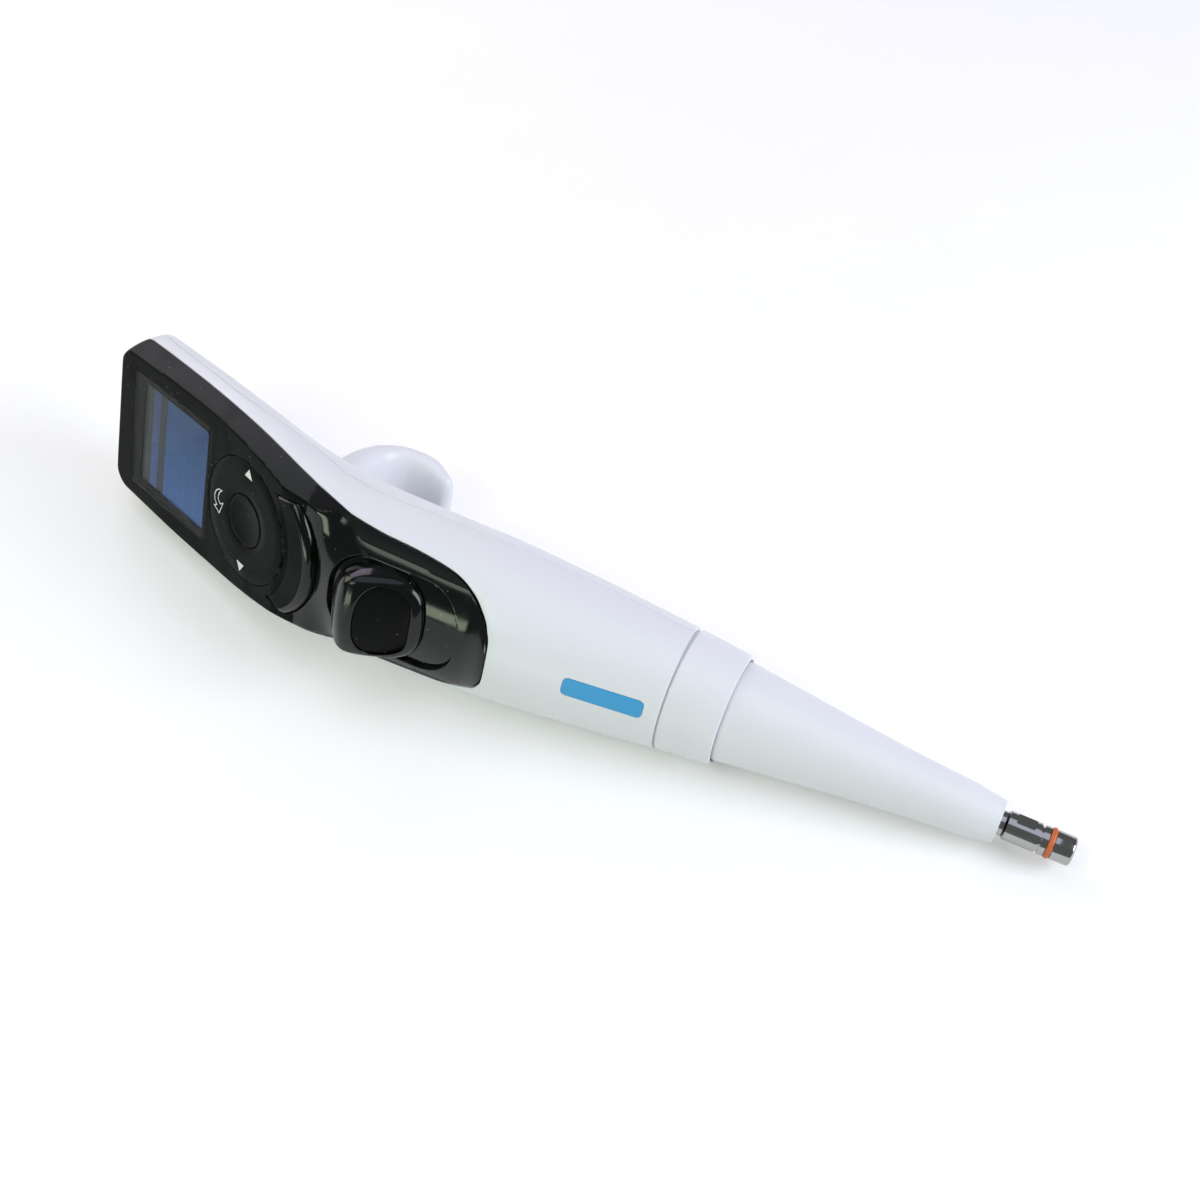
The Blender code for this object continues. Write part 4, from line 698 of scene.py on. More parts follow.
def map_range(tree, source, low, high, to_low=0.0, to_high=1.0):
    """A value moved softly from one range to another."""
    return node(tree, "ShaderNodeMapRange", {"interpolation_type": "SMOOTHSTEP"},
                {"From Min": low, "From Max": high, "To Min": to_low, "To Max": to_high},
                {"Value": source}).outputs["Result"]


VECTOR, FLOAT = "NodeSocketVector", "NodeSocketFloat"
print("socket kinds used by the groups:", VECTOR, FLOAT)

# %% Mould grain and handling smears
grain_group, given, made = new_group("mould_grain", [("Vector", VECTOR, None),
                                                     ("Scale", FLOAT, 2500.0)],
                                     [("Height", FLOAT), ("Tone", FLOAT)])
fine = node(grain_group, "ShaderNodeTexNoise", values={"Detail": 3.0, "Roughness": 0.6},
            links={"Vector": given.outputs["Vector"], "Scale": given.outputs["Scale"]})
broad = node(grain_group, "ShaderNodeTexNoise", values={"Scale": 38.0, "Detail": 2.0},
             links={"Vector": given.outputs["Vector"]})
grain_group.links.new(fine.outputs["Fac"], made.inputs["Height"])
grain_group.links.new(broad.outputs["Fac"], made.inputs["Tone"])

smear_group, given, made = new_group("handling_smears", [("Vector", VECTOR, None),
                                                         ("Scale", FLOAT, 60.0)],
                                     [("Mask", FLOAT)])
cloud = node(smear_group, "ShaderNodeTexNoise",
             values={"Detail": 5.0, "Roughness": 0.62, "Distortion": 1.4},
             links={"Vector": given.outputs["Vector"], "Scale": given.outputs["Scale"]})
smear_group.links.new(map_range(smear_group, cloud.outputs["Fac"], 0.42, 0.72),
                      made.inputs["Mask"])

print("nodes for grain and smears:", len(grain_group.nodes), len(smear_group.nodes))

# %% Dust specks
dust_group, given, made = new_group("dust_specks", [("Vector", VECTOR, None),
                                                    ("Scale", FLOAT, 900.0),
                                                    ("Amount", FLOAT, 0.1)],
                                    [("Mask", FLOAT)])
cells = node(dust_group, "ShaderNodeTexVoronoi", {"feature": "F1"}, {"Randomness": 1.0},
             {"Vector": given.outputs["Vector"], "Scale": given.outputs["Scale"]})
rare = node(dust_group, "ShaderNodeSeparateColor", links={"Color": cells.outputs["Color"]})
chosen = node(dust_group, "ShaderNodeMath", {"operation": "LESS_THAN"},
              links={0: rare.outputs["Red"], 1: given.outputs["Amount"]})
spot = map_range(dust_group, cells.outputs["Distance"], 0.30, 0.12)
both = node(dust_group, "ShaderNodeMath", {"operation": "MULTIPLY"},
            links={0: spot, 1: chosen.outputs["Value"]})
dust_group.links.new(both.outputs["Value"], made.inputs["Mask"])

print("dust group:", len(dust_group.nodes), "nodes")

# %% Rubbed edges
rub_group, given, made = new_group("edge_rub", [("Vector", VECTOR, None)], [("Mask", FLOAT)])
shape = node(rub_group, "ShaderNodeNewGeometry")
edge = map_range(rub_group, shape.outputs["Pointiness"], 0.515, 0.60)
patchy = node(rub_group, "ShaderNodeTexNoise", values={"Scale": 420.0, "Detail": 3.0},
              links={"Vector": given.outputs["Vector"]})
worn = map_range(rub_group, patchy.outputs["Fac"], 0.35, 0.65)
both = node(rub_group, "ShaderNodeMath", {"operation": "MULTIPLY"}, links={0: edge, 1: worn})
rub_group.links.new(both.outputs["Value"], made.inputs["Mask"])
print("effect groups:", sorted(group.name for group in bpy.data.node_groups))

# %% [markdown]
# ## A finish from plain words
# Nearly all the finishes are plastics, rubbers and metals that differ in a handful of numbers:
# colour, gloss, grain size, and how much smear, dust and rub they show. One function builds such
# a material, and special ones such as the screen get their own nodes further down. The vector
# comes in the pipette's own axes, in metres, so that a grain has the same size on every piece.

# %% Helpers for materials
to_own_axes = lying.inverted()


def own_axes(tree):
    """The pipette's own axes: all meshes are in the frame's axes and are turned back."""
    place = node(tree, "ShaderNodeTexCoord")
    angles = to_own_axes.to_euler("XYZ")
    return node(tree, "ShaderNodeMapping", {"vector_type": "POINT"},
                {"Location": tuple(to_own_axes.translation), "Rotation": tuple(angles)},
                {"Vector": place.outputs["Object"]}).outputs["Vector"]


def group_node(tree, group, **values):
    """A node group placed in a material; each value is a number or a link."""
    made = tree.nodes.new("ShaderNodeGroup")
    made.node_tree = group
    for key, value in values.items():
        if isinstance(value, bpy.types.NodeSocket):
            tree.links.new(value, made.inputs[key])
        else:
            made.inputs[key].default_value = value
    return made


def mix_color(tree, factor, first, second, blend="MIX"):
    """A mix of two colours; the factor and the colours are values or links."""
    made = tree.nodes.new("ShaderNodeMix")
    made.data_type = "RGBA"
    made.blend_type = blend
    for socket, value in ((made.inputs[0], factor), (made.inputs[6], first),
                          (made.inputs[7], second)):
        if isinstance(value, bpy.types.NodeSocket):
            tree.links.new(value, socket)
        else:
            socket.default_value = value
    return made.outputs[2]


print("own axes start at", [round(value, 4) for value in to_own_axes.translation])

# %% Build a finish
RUB_LIGHTER = 0.35
DUST_SHARE = 0.35
DUST_GREY = (0.55, 0.55, 0.52, 1.0)
DUST_SCALE = 1500.0
SMEAR_SCALE = 55.0
BUMP_DISTANCE = 0.00001


def finish(name, color, gloss, grain=2600.0, relief=0.03, tone=0.08, smear=0.10, dust=0.0,
           rub=0.10, metallic=0.0, specular=0.5):
    """A procedural plastic, rubber or metal; gloss is the roughness of its clean surface."""
    material = bpy.data.materials.new(name)
    material.use_nodes = True
    tree = material.node_tree
    shader = tree.nodes["Principled BSDF"]
    shader.inputs["Metallic"].default_value = metallic
    shader.inputs["Specular IOR Level"].default_value = specular
    axes = own_axes(tree)
    fine = group_node(tree, grain_group, Vector=axes, Scale=grain)
    smears = group_node(tree, smear_group, Vector=axes, Scale=SMEAR_SCALE)
    base = (*color, 1.0)
    darker = tuple(channel * (1 - tone) for channel in color) + (1.0,)
    shade = mix_color(tree, fine.outputs["Tone"], darker, base)
    worn = group_node(tree, rub_group, Vector=axes)
    lighter = tuple(channel + (1 - channel) * RUB_LIGHTER for channel in color)
    share = map_range(tree, worn.outputs["Mask"], 0.0, 1.0, 0.0, rub)
    shade = mix_color(tree, share, shade, (*lighter, 1.0))
    if dust:
        specks = group_node(tree, dust_group, Vector=axes, Scale=DUST_SCALE, Amount=dust)
        share = map_range(tree, specks.outputs["Mask"], 0.0, 1.0, 0.0, DUST_SHARE)
        shade = mix_color(tree, share, shade, DUST_GREY)
    tree.links.new(shade, shader.inputs["Base Color"])
    tree.links.new(map_range(tree, smears.outputs["Mask"], 0.0, 1.0, gloss, gloss + smear),
                   shader.inputs["Roughness"])
    bump = node(tree, "ShaderNodeBump",
                values={"Strength": relief * 10, "Distance": BUMP_DISTANCE},
                links={"Height": fine.outputs["Height"]})
    tree.links.new(bump.outputs["Normal"], shader.inputs["Normal"])
    return material


white_shell = finish("white_shell", (0.77, 0.78, 0.81), 0.33, grain=3200.0, relief=0.05,
                     tone=0.02, smear=0.08, rub=0.05)
panel_black = finish("panel_black", (0.0024, 0.0038, 0.0035), 0.36, grain=3000.0, relief=0.06,
                     tone=0.25, smear=0.14, dust=0.012, rub=0.04, specular=0.05)
print("finishes:", white_shell.name, panel_black.name)

# %% [markdown]
# ## White shells
# The handle is two white mouldings that meet along a line down each side. They are cut from the
# skin by that line. Two tenths of a millimetre are left open, as on the real one, where the seam
# is a faint grey line and not a groove. A line drawn by a texture would not catch the light.

# %% White part of the skin
SHELL_GAP = 0.00020
PANEL_GAP = 0.00022
LIP = 0.00014
SHELL_DEPTH = 0.0010


def behind_panel(points):
    """Distance behind the panel's edge, less half the gap and the lip."""
    return -before_panel_edge(points) - PANEL_GAP / 2 - LIP


lower_skin = clip(skin, behind_panel)
print("white part of the skin:", len(lower_skin[2]), "triangles")

# %% Front shell with the label's pocket
LABEL_X = 0.0018
LABEL_HALF_WIDTH = 0.0025
LABEL_BOTTOM_Z = 0.1051
LABEL_TOP_Z = 0.1255
LABEL_CORNER = 0.0014
LABEL_CLEARANCE = 0.00008
around_label = outside_rectangle(FRONT, (LABEL_X - LABEL_HALF_WIDTH, LABEL_BOTTOM_Z),
                                 (LABEL_X + LABEL_HALF_WIDTH, LABEL_TOP_Z), LABEL_CORNER)


def clear_of_label(points):
    """Distance outside the label's pocket, on the front only."""
    return np.where(points[:, 1] < 0.0, around_label(points) - LABEL_CLEARANCE, 1.0)


front_patch = clip(lower_skin, lambda points: before_parting(points) - SHELL_GAP / 2 - LIP)
front_patch = clip(front_patch, clear_of_label)
show("front_shell_skin", *thicken(front_patch, SHELL_DEPTH, LIP), white_shell, "handle",
     ["front_shell"])

# %% Rear shell and battery cover
COVER_HALF_WIDTH = 0.0140
COVER_BOTTOM = 0.0020
COVER_TOP = 0.0470
COVER_CORNER = 0.0040
HEAD_BACK = -0.0125
around_cover = outside_rectangle(HEAD, (-COVER_HALF_WIDTH, COVER_BOTTOM),
                                 (COVER_HALF_WIDTH, COVER_TOP), COVER_CORNER)
rear_patch = clip(lower_skin, lambda points: -before_parting(points) - SHELL_GAP / 2 - LIP)


def clear_of_cover(points):
    """Distance outside the cover's opening, on the back of the head only."""
    depth = in_plane(points, HEAD)[:, 2]
    return np.where(depth < HEAD_BACK, around_cover(points) - LIP, 1.0)


def within_cover(points):
    """Distance inside the cover's own edge."""
    depth = in_plane(points, HEAD)[:, 2]
    return np.where(depth < HEAD_BACK, -around_cover(points) - SHELL_GAP - LIP, -1.0)


cover_patch = clip(rear_patch, within_cover)
rear_patch = clip(rear_patch, clear_of_cover)
show("rear_shell_skin", *thicken(rear_patch, SHELL_DEPTH, LIP), white_shell, "handle",
     ["rear_shell"])
show("battery_cover_skin", *thicken(cover_patch, SHELL_DEPTH, LIP), white_shell, "handle",
     ["battery_cover"])

# %% [markdown]
# ## Finger hook
# The hook rests on the index finger, so that the thumb stays free. It is moulded in one with the
# rear shell and runs into it with a soft fillet. Its sections follow a curled line, and near the
# shell each point moves outwards by the fillet's curve and is set back to its own height over
# the skin, so the fillet ends tangent to the shell. It is wide below and above the hook's root
# and narrow at its sides. A boolean union and a bevel would leave a rough corner there.

# %% Ovals, rings and heights over the skin
skin_tree = BVHTree.FromPolygons([tuple(point) for point in skin[0]],
                                 [tuple(int(i) for i in tri) for tri in skin[2]])


def height_over_skin(point):
    """Height of a point over the skin, and the skin's normal under it."""
    place, normal, _, _ = skin_tree.find_nearest(Vector(point))
    return (Vector(point) - place).dot(normal), np.array(normal)


def oval(half_width, half_length, power, steps):
    """Closed outline of a superellipse."""
    turns = 2 * np.pi * np.arange(steps) / steps
    cosine, sine = np.cos(turns), np.sin(turns)
    return np.stack([half_width * np.sign(cosine) * np.abs(cosine) ** (2 / power),
                     half_length * np.sign(sine) * np.abs(sine) ** (2 / power)], axis=1)


def ring_faces(rings, around, closed_ends=True):
    """Quads between rings of equal count, and a fan over each end."""
    faces = []
    for ring in range(rings - 1):
        for turn in range(around):
            after = (turn + 1) % around
            faces.append((ring * around + turn, ring * around + after,
                          (ring + 1) * around + after, (ring + 1) * around + turn))
    if closed_ends:
        faces.append(tuple(range(around)))
        faces.append(tuple((rings - 1) * around + turn for turn in range(around)))
    return faces


print("height of the wheel's centre over the skin:",
      round(height_over_skin(KEYS.translation)[0] * 1000, 2), "mm")

# %% Hook with its fillet
HOOK_LINE = (
    (0.0105, 0.2030, 0.0140, 0.0080), (0.0185, 0.2068, 0.0128, 0.0064),
    (0.0270, 0.2078, 0.0118, 0.0050), (0.0350, 0.2053, 0.0112, 0.0043),
    (0.0398, 0.1995, 0.0106, 0.0039), (0.0406, 0.1922, 0.0098, 0.0034),
    (0.0388, 0.1868, 0.0078, 0.0026),
)
HOOK_POWER = 2.6
HOOK_STEPS = 56
HOOK_FILLET = 0.0055
NARROWER_AT_SIDES = 0.85
NARROWER_ABOVE = 0.30
SETTLING = 0.0005
SIDEWAYS = np.array((1.0, 0.0, 0.0))


def filleted(point, centre):
    """A point of the hook moved outwards by the fillet, at its own height over the skin."""
    height, _ = height_over_skin(point)
    away = (point - centre) / np.linalg.norm(point - centre)
    fillet = (HOOK_FILLET * (1 - NARROWER_AT_SIDES * away[0] ** 2)
              * (1 - NARROWER_ABOVE * max(away[2], 0.0) ** 2))
    near = min(max(fillet - height, 0.0), fillet)
    spread = point + away * (fillet - math.sqrt(fillet ** 2 - near ** 2))
    spread_height, normal = height_over_skin(spread)
    return spread - normal * (spread_height - height) * min(near / SETTLING, 1.0)


hook_curve = smooth_curve(HOOK_LINE, 14)
rings = []
for index, (y, z, half_width, half_thick) in enumerate(hook_curve):
    before = hook_curve[max(index - 1, 0)][:2]
    after = hook_curve[min(index + 1, len(hook_curve) - 1)][:2]
    run = (after - before) / np.linalg.norm(after - before)
    across = np.array((0.0, run[1], -run[0]))
    flat = oval(half_width, half_thick, HOOK_POWER, HOOK_STEPS)
    centre = np.array((0.0, y, z))
    ring = centre + flat[:, :1] * SIDEWAYS + flat[:, 1:] * across
    rings.append(np.array([filleted(point, centre) for point in ring]))
last = hook_curve[-1]
for turn in (15, 30, 45, 58, 70, 80, 87):
    bulge = math.radians(turn)
    shrink = math.cos(bulge)
    flat = oval(last[2] * (0.35 + 0.65 * shrink), last[3] * shrink, HOOK_POWER, HOOK_STEPS)
    centre = np.array((0.0, last[0] + run[0] * last[3] * math.sin(bulge),
                       last[1] + run[1] * last[3] * math.sin(bulge)))
    rings.append(centre + flat[:, :1] * SIDEWAYS + flat[:, 1:] * across)
show("finger_hook", np.vstack(rings), ring_faces(len(rings), HOOK_STEPS), white_shell, "handle",
     slot="rear_shell", sharp=60.0)

# %% [markdown]
# ## Dark front panel
# One black moulding carries the display face, the wheel and the hollow for the thumb block. It is
# the front of the same skin, with four openings: for the display, the wheel, the crescent key and
# the ejector's track. Each is one more field, so the openings follow the curve of the face. A
# flat cutter pushed through a mesh would leave ragged edges there.

# %% Panel with its openings
WINDOW_HALF_WIDTH = 0.0177
WINDOW_HALF_HEIGHT = 0.0175
WINDOW_SHIFT = 0.0008
WINDOW_CORNER = 0.0014
WHEEL_RADIUS = 0.0174
WHEEL_GAP = 0.00022
KEY_INNER = 0.0203
KEY_OUTER = 0.0216
KEY_SHIFT = 0.0068
KEY_HALF_ANGLE = math.radians(52.0)
KEY_END_WIDTH = 0.0010
KEY_GAP = 0.00022
SLOT_HALF_WIDTH = 0.0133
SLOT_BOTTOM_Z = 0.1545
SLOT_TOP_Z = 0.1908
SLOT_CORNER = 0.0110
PANEL_DEPTH = 0.0013


def key_outline(trim=0.0, steps=40):
    """Crescent under the wheel: an arc about the wheel's centre and a lower, flatter arc."""
    outer = KEY_OUTER - trim
    half = KEY_HALF_ANGLE * (1 - trim / outer)
    end = math.asin((KEY_INNER * math.sin(half) + KEY_END_WIDTH) / outer)
    first = np.linspace(-half, half, steps)
    second = np.linspace(end, -end, steps)
    inner_arc = np.stack([KEY_INNER * np.sin(first), -KEY_INNER * np.cos(first)], axis=1)
    outer_arc = np.stack([outer * np.sin(second), -KEY_SHIFT - outer * np.cos(second)], axis=1)
    return np.vstack([inner_arc, outer_arc])


around_window = outside_rectangle(DISPLAY, (-WINDOW_HALF_WIDTH,
                                            WINDOW_SHIFT - WINDOW_HALF_HEIGHT),
                                  (WINDOW_HALF_WIDTH, WINDOW_SHIFT + WINDOW_HALF_HEIGHT),
                                  WINDOW_CORNER)
around_wheel = outside_circle(KEYS, WHEEL_RADIUS + WHEEL_GAP)
around_key = outside_outline(KEYS, key_outline())
around_slot = outside_rectangle(FRONT, (-SLOT_HALF_WIDTH, SLOT_BOTTOM_Z),
                                (SLOT_HALF_WIDTH, SLOT_TOP_Z), SLOT_CORNER)
panel_patch = clip(skin, lambda points: before_panel_edge(points) - PANEL_GAP / 2 - LIP)
for around, gap in ((around_window, 0.0), (around_wheel, 0.0), (around_key, KEY_GAP),
                    (around_slot, 0.0)):
    panel_patch = clip(panel_patch, lambda points, f=around, g=gap: f(points) - g - LIP)
panel = show("front_panel_skin", *thicken(panel_patch, PANEL_DEPTH, LIP), panel_black, "handle",
             ["front_panel"])

# %% [markdown]
# ## Four finishes on one moulding
# The mould of the panel was polished in the hollow, left satin on the face, and sparked to a
# coarser grain on the side band and on the lip outside the ridge. The side band is the same
# black plastic as the face: its lighter grey is painted light, for the light that the band
# catches. A mask would serve for the roughness, but the shine differs too, so each face of the
# mesh gets one of four materials.
# The way it points decides which: faces that turn away to the side are band or lip, and the
# others are display face or hollow, by their height along the handle.

# %% Finishes of the panel
scoop_black = finish("scoop_black", (0.0030, 0.0046, 0.0040), 0.10, grain=900.0, relief=0.01,
                     tone=0.3, smear=0.09, dust=0.012, rub=0.05, specular=0.38)
# The side band's lighter grey colour is painted light; its roughness and coarser grain are its
# finish.
band_painted_light = finish("band_painted_light", (0.0150, 0.0180, 0.0178), 0.48, grain=2600.0, relief=0.10,
                   tone=0.15, smear=0.10, dust=0.010, rub=0.05, specular=0.22)
lip_black = finish("lip_black", (0.0034, 0.0040, 0.0040), 0.40, grain=2600.0, relief=0.08,
                   tone=0.2, smear=0.12, dust=0.012, rub=0.05, specular=0.12)
for material in (scoop_black, band_painted_light, lip_black):
    panel.data.materials.append(material)
HOLLOW_TOP_Z = 0.2015
FLANK_TURN = 0.5
FACE_TURN = 0.75


def upright_centres(obj):
    """Middle of every face of a piece, in the pipette's own axes."""
    centres = np.array([tuple(face.center) for face in obj.data.polygons])
    return in_plane(centres, lying)


def upright_normals(obj):
    """Direction that every face of a piece points in, in the pipette's own axes."""
    normals = np.array([tuple(face.normal) for face in obj.data.polygons])
    return normals @ np.array(lying)[:3, :3]


in_head = upright_centres(panel)[:, 2] > HOLLOW_TOP_Z
normals = upright_normals(panel)
towards_face = np.abs(normals @ np.array(DISPLAY)[:3, 2])
flank = (np.abs(normals[:, 0]) > FLANK_TURN) | (in_head & (towards_face < FACE_TURN))
indices = np.where(flank, np.where(in_head, 2, 3), np.where(in_head, 0, 1))
panel.data.polygons.foreach_set("material_index", indices.astype(np.int32))
print("faces of each finish:", np.bincount(indices).tolist())

# %% [markdown]
# ## Track and thumb block
# The tip ejector is a glossy block that the thumb pushes towards the nozzle. It slides over a
# glossy inlaid plate in the hollow. The plate is cut from the skin and set a little deeper. The
# block is a hump: steep towards the head, where the thumb pushes, with a soft pad let into its
# slope. It is built from ovals whose height comes from a side-view line, laid over the crowned
# face. Sculpting it would lose the even curve that the reflections show.

# %% Track
gloss_black = finish("gloss_black", (0.0026, 0.0040, 0.0034), 0.11, grain=900.0, relief=0.01,
                     tone=0.3, smear=0.10, dust=0.012, rub=0.04, specular=0.38)
TRACK_RECESS = 0.0011
STEM_HALF_WIDTH = 0.0030
STEM_BOTTOM_Z = 0.1713
STEM_TOP_Z = 0.1777
STEM_CLEARANCE = 0.0003
STEM_SLOT_CORNER = 0.0010
EJECT_TRAVEL = 0.0080
TRACK_GAP = 0.0002
TRACK_THICKNESS = 0.0009
BEFORE_Y = -0.005


def sunk_patch(patch, depth):
    """A patch of the skin moved inwards."""
    points, normals, triangles = patch
    return points - normals * depth, normals, triangles


track_patch = clip(skin, lambda points: np.where(points[:, 1] < BEFORE_Y,
                                                 -around_slot(points) - TRACK_GAP - LIP, -1.0))
stem_slot = STEM_HALF_WIDTH + STEM_CLEARANCE
around_stem = outside_rectangle(FRONT, (-stem_slot, STEM_BOTTOM_Z - EJECT_TRAVEL),
                                (stem_slot, STEM_TOP_Z), STEM_SLOT_CORNER)
track_patch = clip(sunk_patch(track_patch, TRACK_RECESS), around_stem)
show("track_plate", *thicken(track_patch, TRACK_THICKNESS, LIP), gloss_black, "handle",
     ["ejector_track"])

# %% Sizes and outlines of the block and its pad
PANEL_FLAT_Y = -0.0193
BLOCK_HALF_WIDTH = 0.0125
BLOCK_BOTTOM_Z = 0.1634
BLOCK_TOP_Z = 0.1886
BLOCK_MIDDLE = (BLOCK_BOTTOM_Z + BLOCK_TOP_Z) / 2
BLOCK_HALF_LENGTH = (BLOCK_TOP_Z - BLOCK_BOTTOM_Z) / 2
BLOCK_POWER = 2.6
BLOCK_STEPS = 96
BLOCK_PROFILE = (
    (0.1634, 0.0003), (0.1648, 0.0010), (0.1664, 0.0014), (0.1690, 0.0023), (0.1730, 0.0041),
    (0.1770, 0.0062), (0.1795, 0.0073), (0.1812, 0.0077), (0.1828, 0.0073), (0.1846, 0.0058),
    (0.1864, 0.0034), (0.1878, 0.0012), (0.1886, 0.0002),
)
PAD_Z = 0.1727
PAD_HALF_WIDTH = 0.0103
PAD_HALF_LENGTH = 0.0063
PAD_POWER = 2.75
PAD_SLOPE = math.tan(math.radians(30.0))
PAD_HEIGHT = 0.0032
PAD_LEAST_HEIGHT = 0.0003
PAD_LEVELLING = 0.0012
PAD_ROUNDING = 0.0003
PAD_THICKNESS = 0.0008
PAD_DISH = 0.00025
POCKET_GAP = 0.00015
POCKET_DEPTH = 0.0010
BLOCK_CLEARANCE = 0.0003
BLOCK_FOOT = 0.0012
BLOCK_EDGE = ((0.0, 0.30), (0.0001, 0.50), (0.0003, 0.68), (0.0006, 0.82), (0.0010, 0.92),
              (0.0015, 0.98), (0.0021, 1.0))


def over_face(flat, heights):
    """Points at heights above the crowned face, from their X and Z."""
    x, z = flat[:, 0], flat[:, 1]
    return np.stack([x, PANEL_FLAT_Y - heights + x * x / (2 * PANEL_CROWN_RADIUS), z], axis=1)


def block_height(z):
    """Height of the block's side-view line over the face."""
    return np.array([read_row(BLOCK_PROFILE, min(max(value, BLOCK_BOTTOM_Z), BLOCK_TOP_Z))[0]
                     for value in z])


def pad_height(z):
    """Height of the pad: a slope that levels out at its lower end."""
    above = PAD_HEIGHT + (z - PAD_Z) * PAD_SLOPE - PAD_LEAST_HEIGHT
    return PAD_LEAST_HEIGHT + 0.5 * (above + np.hypot(above, PAD_LEVELLING))


def block_ring(inset):
    """Outline of the block, drawn in by an inset."""
    flat = oval(BLOCK_HALF_WIDTH - inset, BLOCK_HALF_LENGTH - inset, BLOCK_POWER, BLOCK_STEPS)
    return flat + (0.0, BLOCK_MIDDLE)


def pad_ring(margin, share=1.0):
    """Outline of the pad with a margin round it, or a share of it."""
    flat = oval((PAD_HALF_WIDTH + margin) * share, (PAD_HALF_LENGTH + margin) * share, PAD_POWER,
                BLOCK_STEPS)
    return flat + (0.0, PAD_Z)


def block_skin(flat, fill):
    """Points on the block's surface, or on its side at a share of the height."""
    heights = (block_height(flat[:, 1]) + TRACK_RECESS) * fill - TRACK_RECESS
    return over_face(flat, heights)


print("block's height in the middle of the pad:", block_height([PAD_Z]) * 1000, "mm")

# %% Block's hump, with a pocket for the pad
over_track = np.full(BLOCK_STEPS, BLOCK_CLEARANCE - TRACK_RECESS)
rings = [over_face(block_ring(BLOCK_FOOT), over_track), over_face(block_ring(0.0), over_track)]
for inset, fill in BLOCK_EDGE:
    rings.append(block_skin(block_ring(inset), fill))
outer = block_ring(BLOCK_EDGE[-1][0])
inner = pad_ring(POCKET_GAP + PAD_ROUNDING)
for share in (0.15, 0.3, 0.45, 0.6, 0.75, 0.9, 1.0):
    rings.append(block_skin(outer + (inner - outer) * share, 1.0))
for turn in (30, 60, 90):
    angle = math.radians(turn)
    flat = pad_ring(POCKET_GAP + PAD_ROUNDING * (1 - math.sin(angle)))
    rings.append(over_face(flat, block_height(flat[:, 1]) - PAD_ROUNDING * (1 - math.cos(angle))))
for share in (1.0, 0.6, 0.2):
    flat = pad_ring(POCKET_GAP, share)
    rings.append(over_face(flat, pad_height(flat[:, 1]) - POCKET_DEPTH))
show("thumb_block_hump", np.vstack(rings), ring_faces(len(rings), BLOCK_STEPS), gloss_black,
     "ejector", ["thumb_block"])

# %% Thumb pad
pad_rubber = finish("pad_rubber", (0.0026, 0.0030, 0.0028), 0.45, grain=2200.0, relief=0.10,
                    tone=0.35, smear=0.12, dust=0.02, rub=0.05, specular=0.08)
rings = []
for share in (0.5, 1.0):
    flat = pad_ring(0.0, share)
    rings.append(over_face(flat, pad_height(flat[:, 1]) - PAD_THICKNESS))
for turn in (0, 30, 60, 90):
    angle = math.radians(turn)
    flat = pad_ring(-PAD_ROUNDING * (1 - math.cos(angle)))
    rings.append(over_face(flat, pad_height(flat[:, 1]) - PAD_ROUNDING * (1 - math.sin(angle))))
for share in (0.9, 0.75, 0.6, 0.45, 0.3, 0.15):
    flat = pad_ring(-PAD_ROUNDING, share)
    rings.append(over_face(flat, pad_height(flat[:, 1]) - PAD_DISH * (1 - share ** 2)))
show("thumb_pad_inlay", np.vstack(rings), ring_faces(len(rings), BLOCK_STEPS), pad_rubber,
     "ejector", ["thumb_pad"])

# %% [markdown]
# ## Wheel, button and run key
# The wheel is a flat touch ring with a dished button in its middle, and the crescent under it
# starts a pipetting step. Wheel and button are turned shapes, so a side profile goes once round
# an axis. The crescent is a stack of its own outline, drawn in step by step for its rounded edge,
# because a bevel tool can't round the thin points at its ends evenly.

# %% Turned shapes


def turned(profile, steps, axes=UPRIGHT):
    """A side profile of radius and height, taken once round the axis of a plane's frame."""
    turns = 2 * np.pi * np.arange(steps) / steps
    rings = [np.stack([radius * np.cos(turns), radius * np.sin(turns),
                       np.full(steps, height)], axis=1) for radius, height in profile]
    return from_plane(np.vstack(rings), axes), ring_faces(len(profile), steps, False)


def closed_profile(profile):
    """A profile that ends where it starts."""
    return [*profile, profile[0]]


def stack(outlines, heights, axes, closed_ends=True):
    """Outlines of equal count at given heights over a plane, joined one to the next."""
    rings = [np.column_stack([np.array(outline, float), np.full(len(outline), height)])
             for outline, height in zip(outlines, heights)]
    return (from_plane(np.vstack(rings), axes),
            ring_faces(len(rings), len(outlines[0]), closed_ends))


print("faces of a washer in eight steps:", len(turned([(0.5, 0.0), (1.0, 0.0)], 8)[1]))

# %% Wheel and button
wheel_black = finish("wheel_black", (0.0024, 0.0038, 0.0035), 0.36, grain=3000.0, relief=0.06,
                     tone=0.2, smear=0.12, dust=0.008, rub=0.25, specular=0.05)
WHEEL_BORE = 0.0075
CAP_THICKNESS = 0.0019
wheel_profile = [(WHEEL_BORE, -CAP_THICKNESS), (WHEEL_BORE, -0.00028),
                 (WHEEL_BORE + 0.0001, -0.0001), (WHEEL_BORE + 0.0003, 0.0),
                 (0.0105, 0.00002), (0.0140, 0.00002),
                 (WHEEL_RADIUS - 0.0003, 0.0), (WHEEL_RADIUS - 0.0001, -0.0001),
                 (WHEEL_RADIUS, -0.00028), (WHEEL_RADIUS, -CAP_THICKNESS)]
show("navigation_wheel", *turned(closed_profile(wheel_profile), 128, KEYS), wheel_black, "wheel",
     ["touch_wheel"])

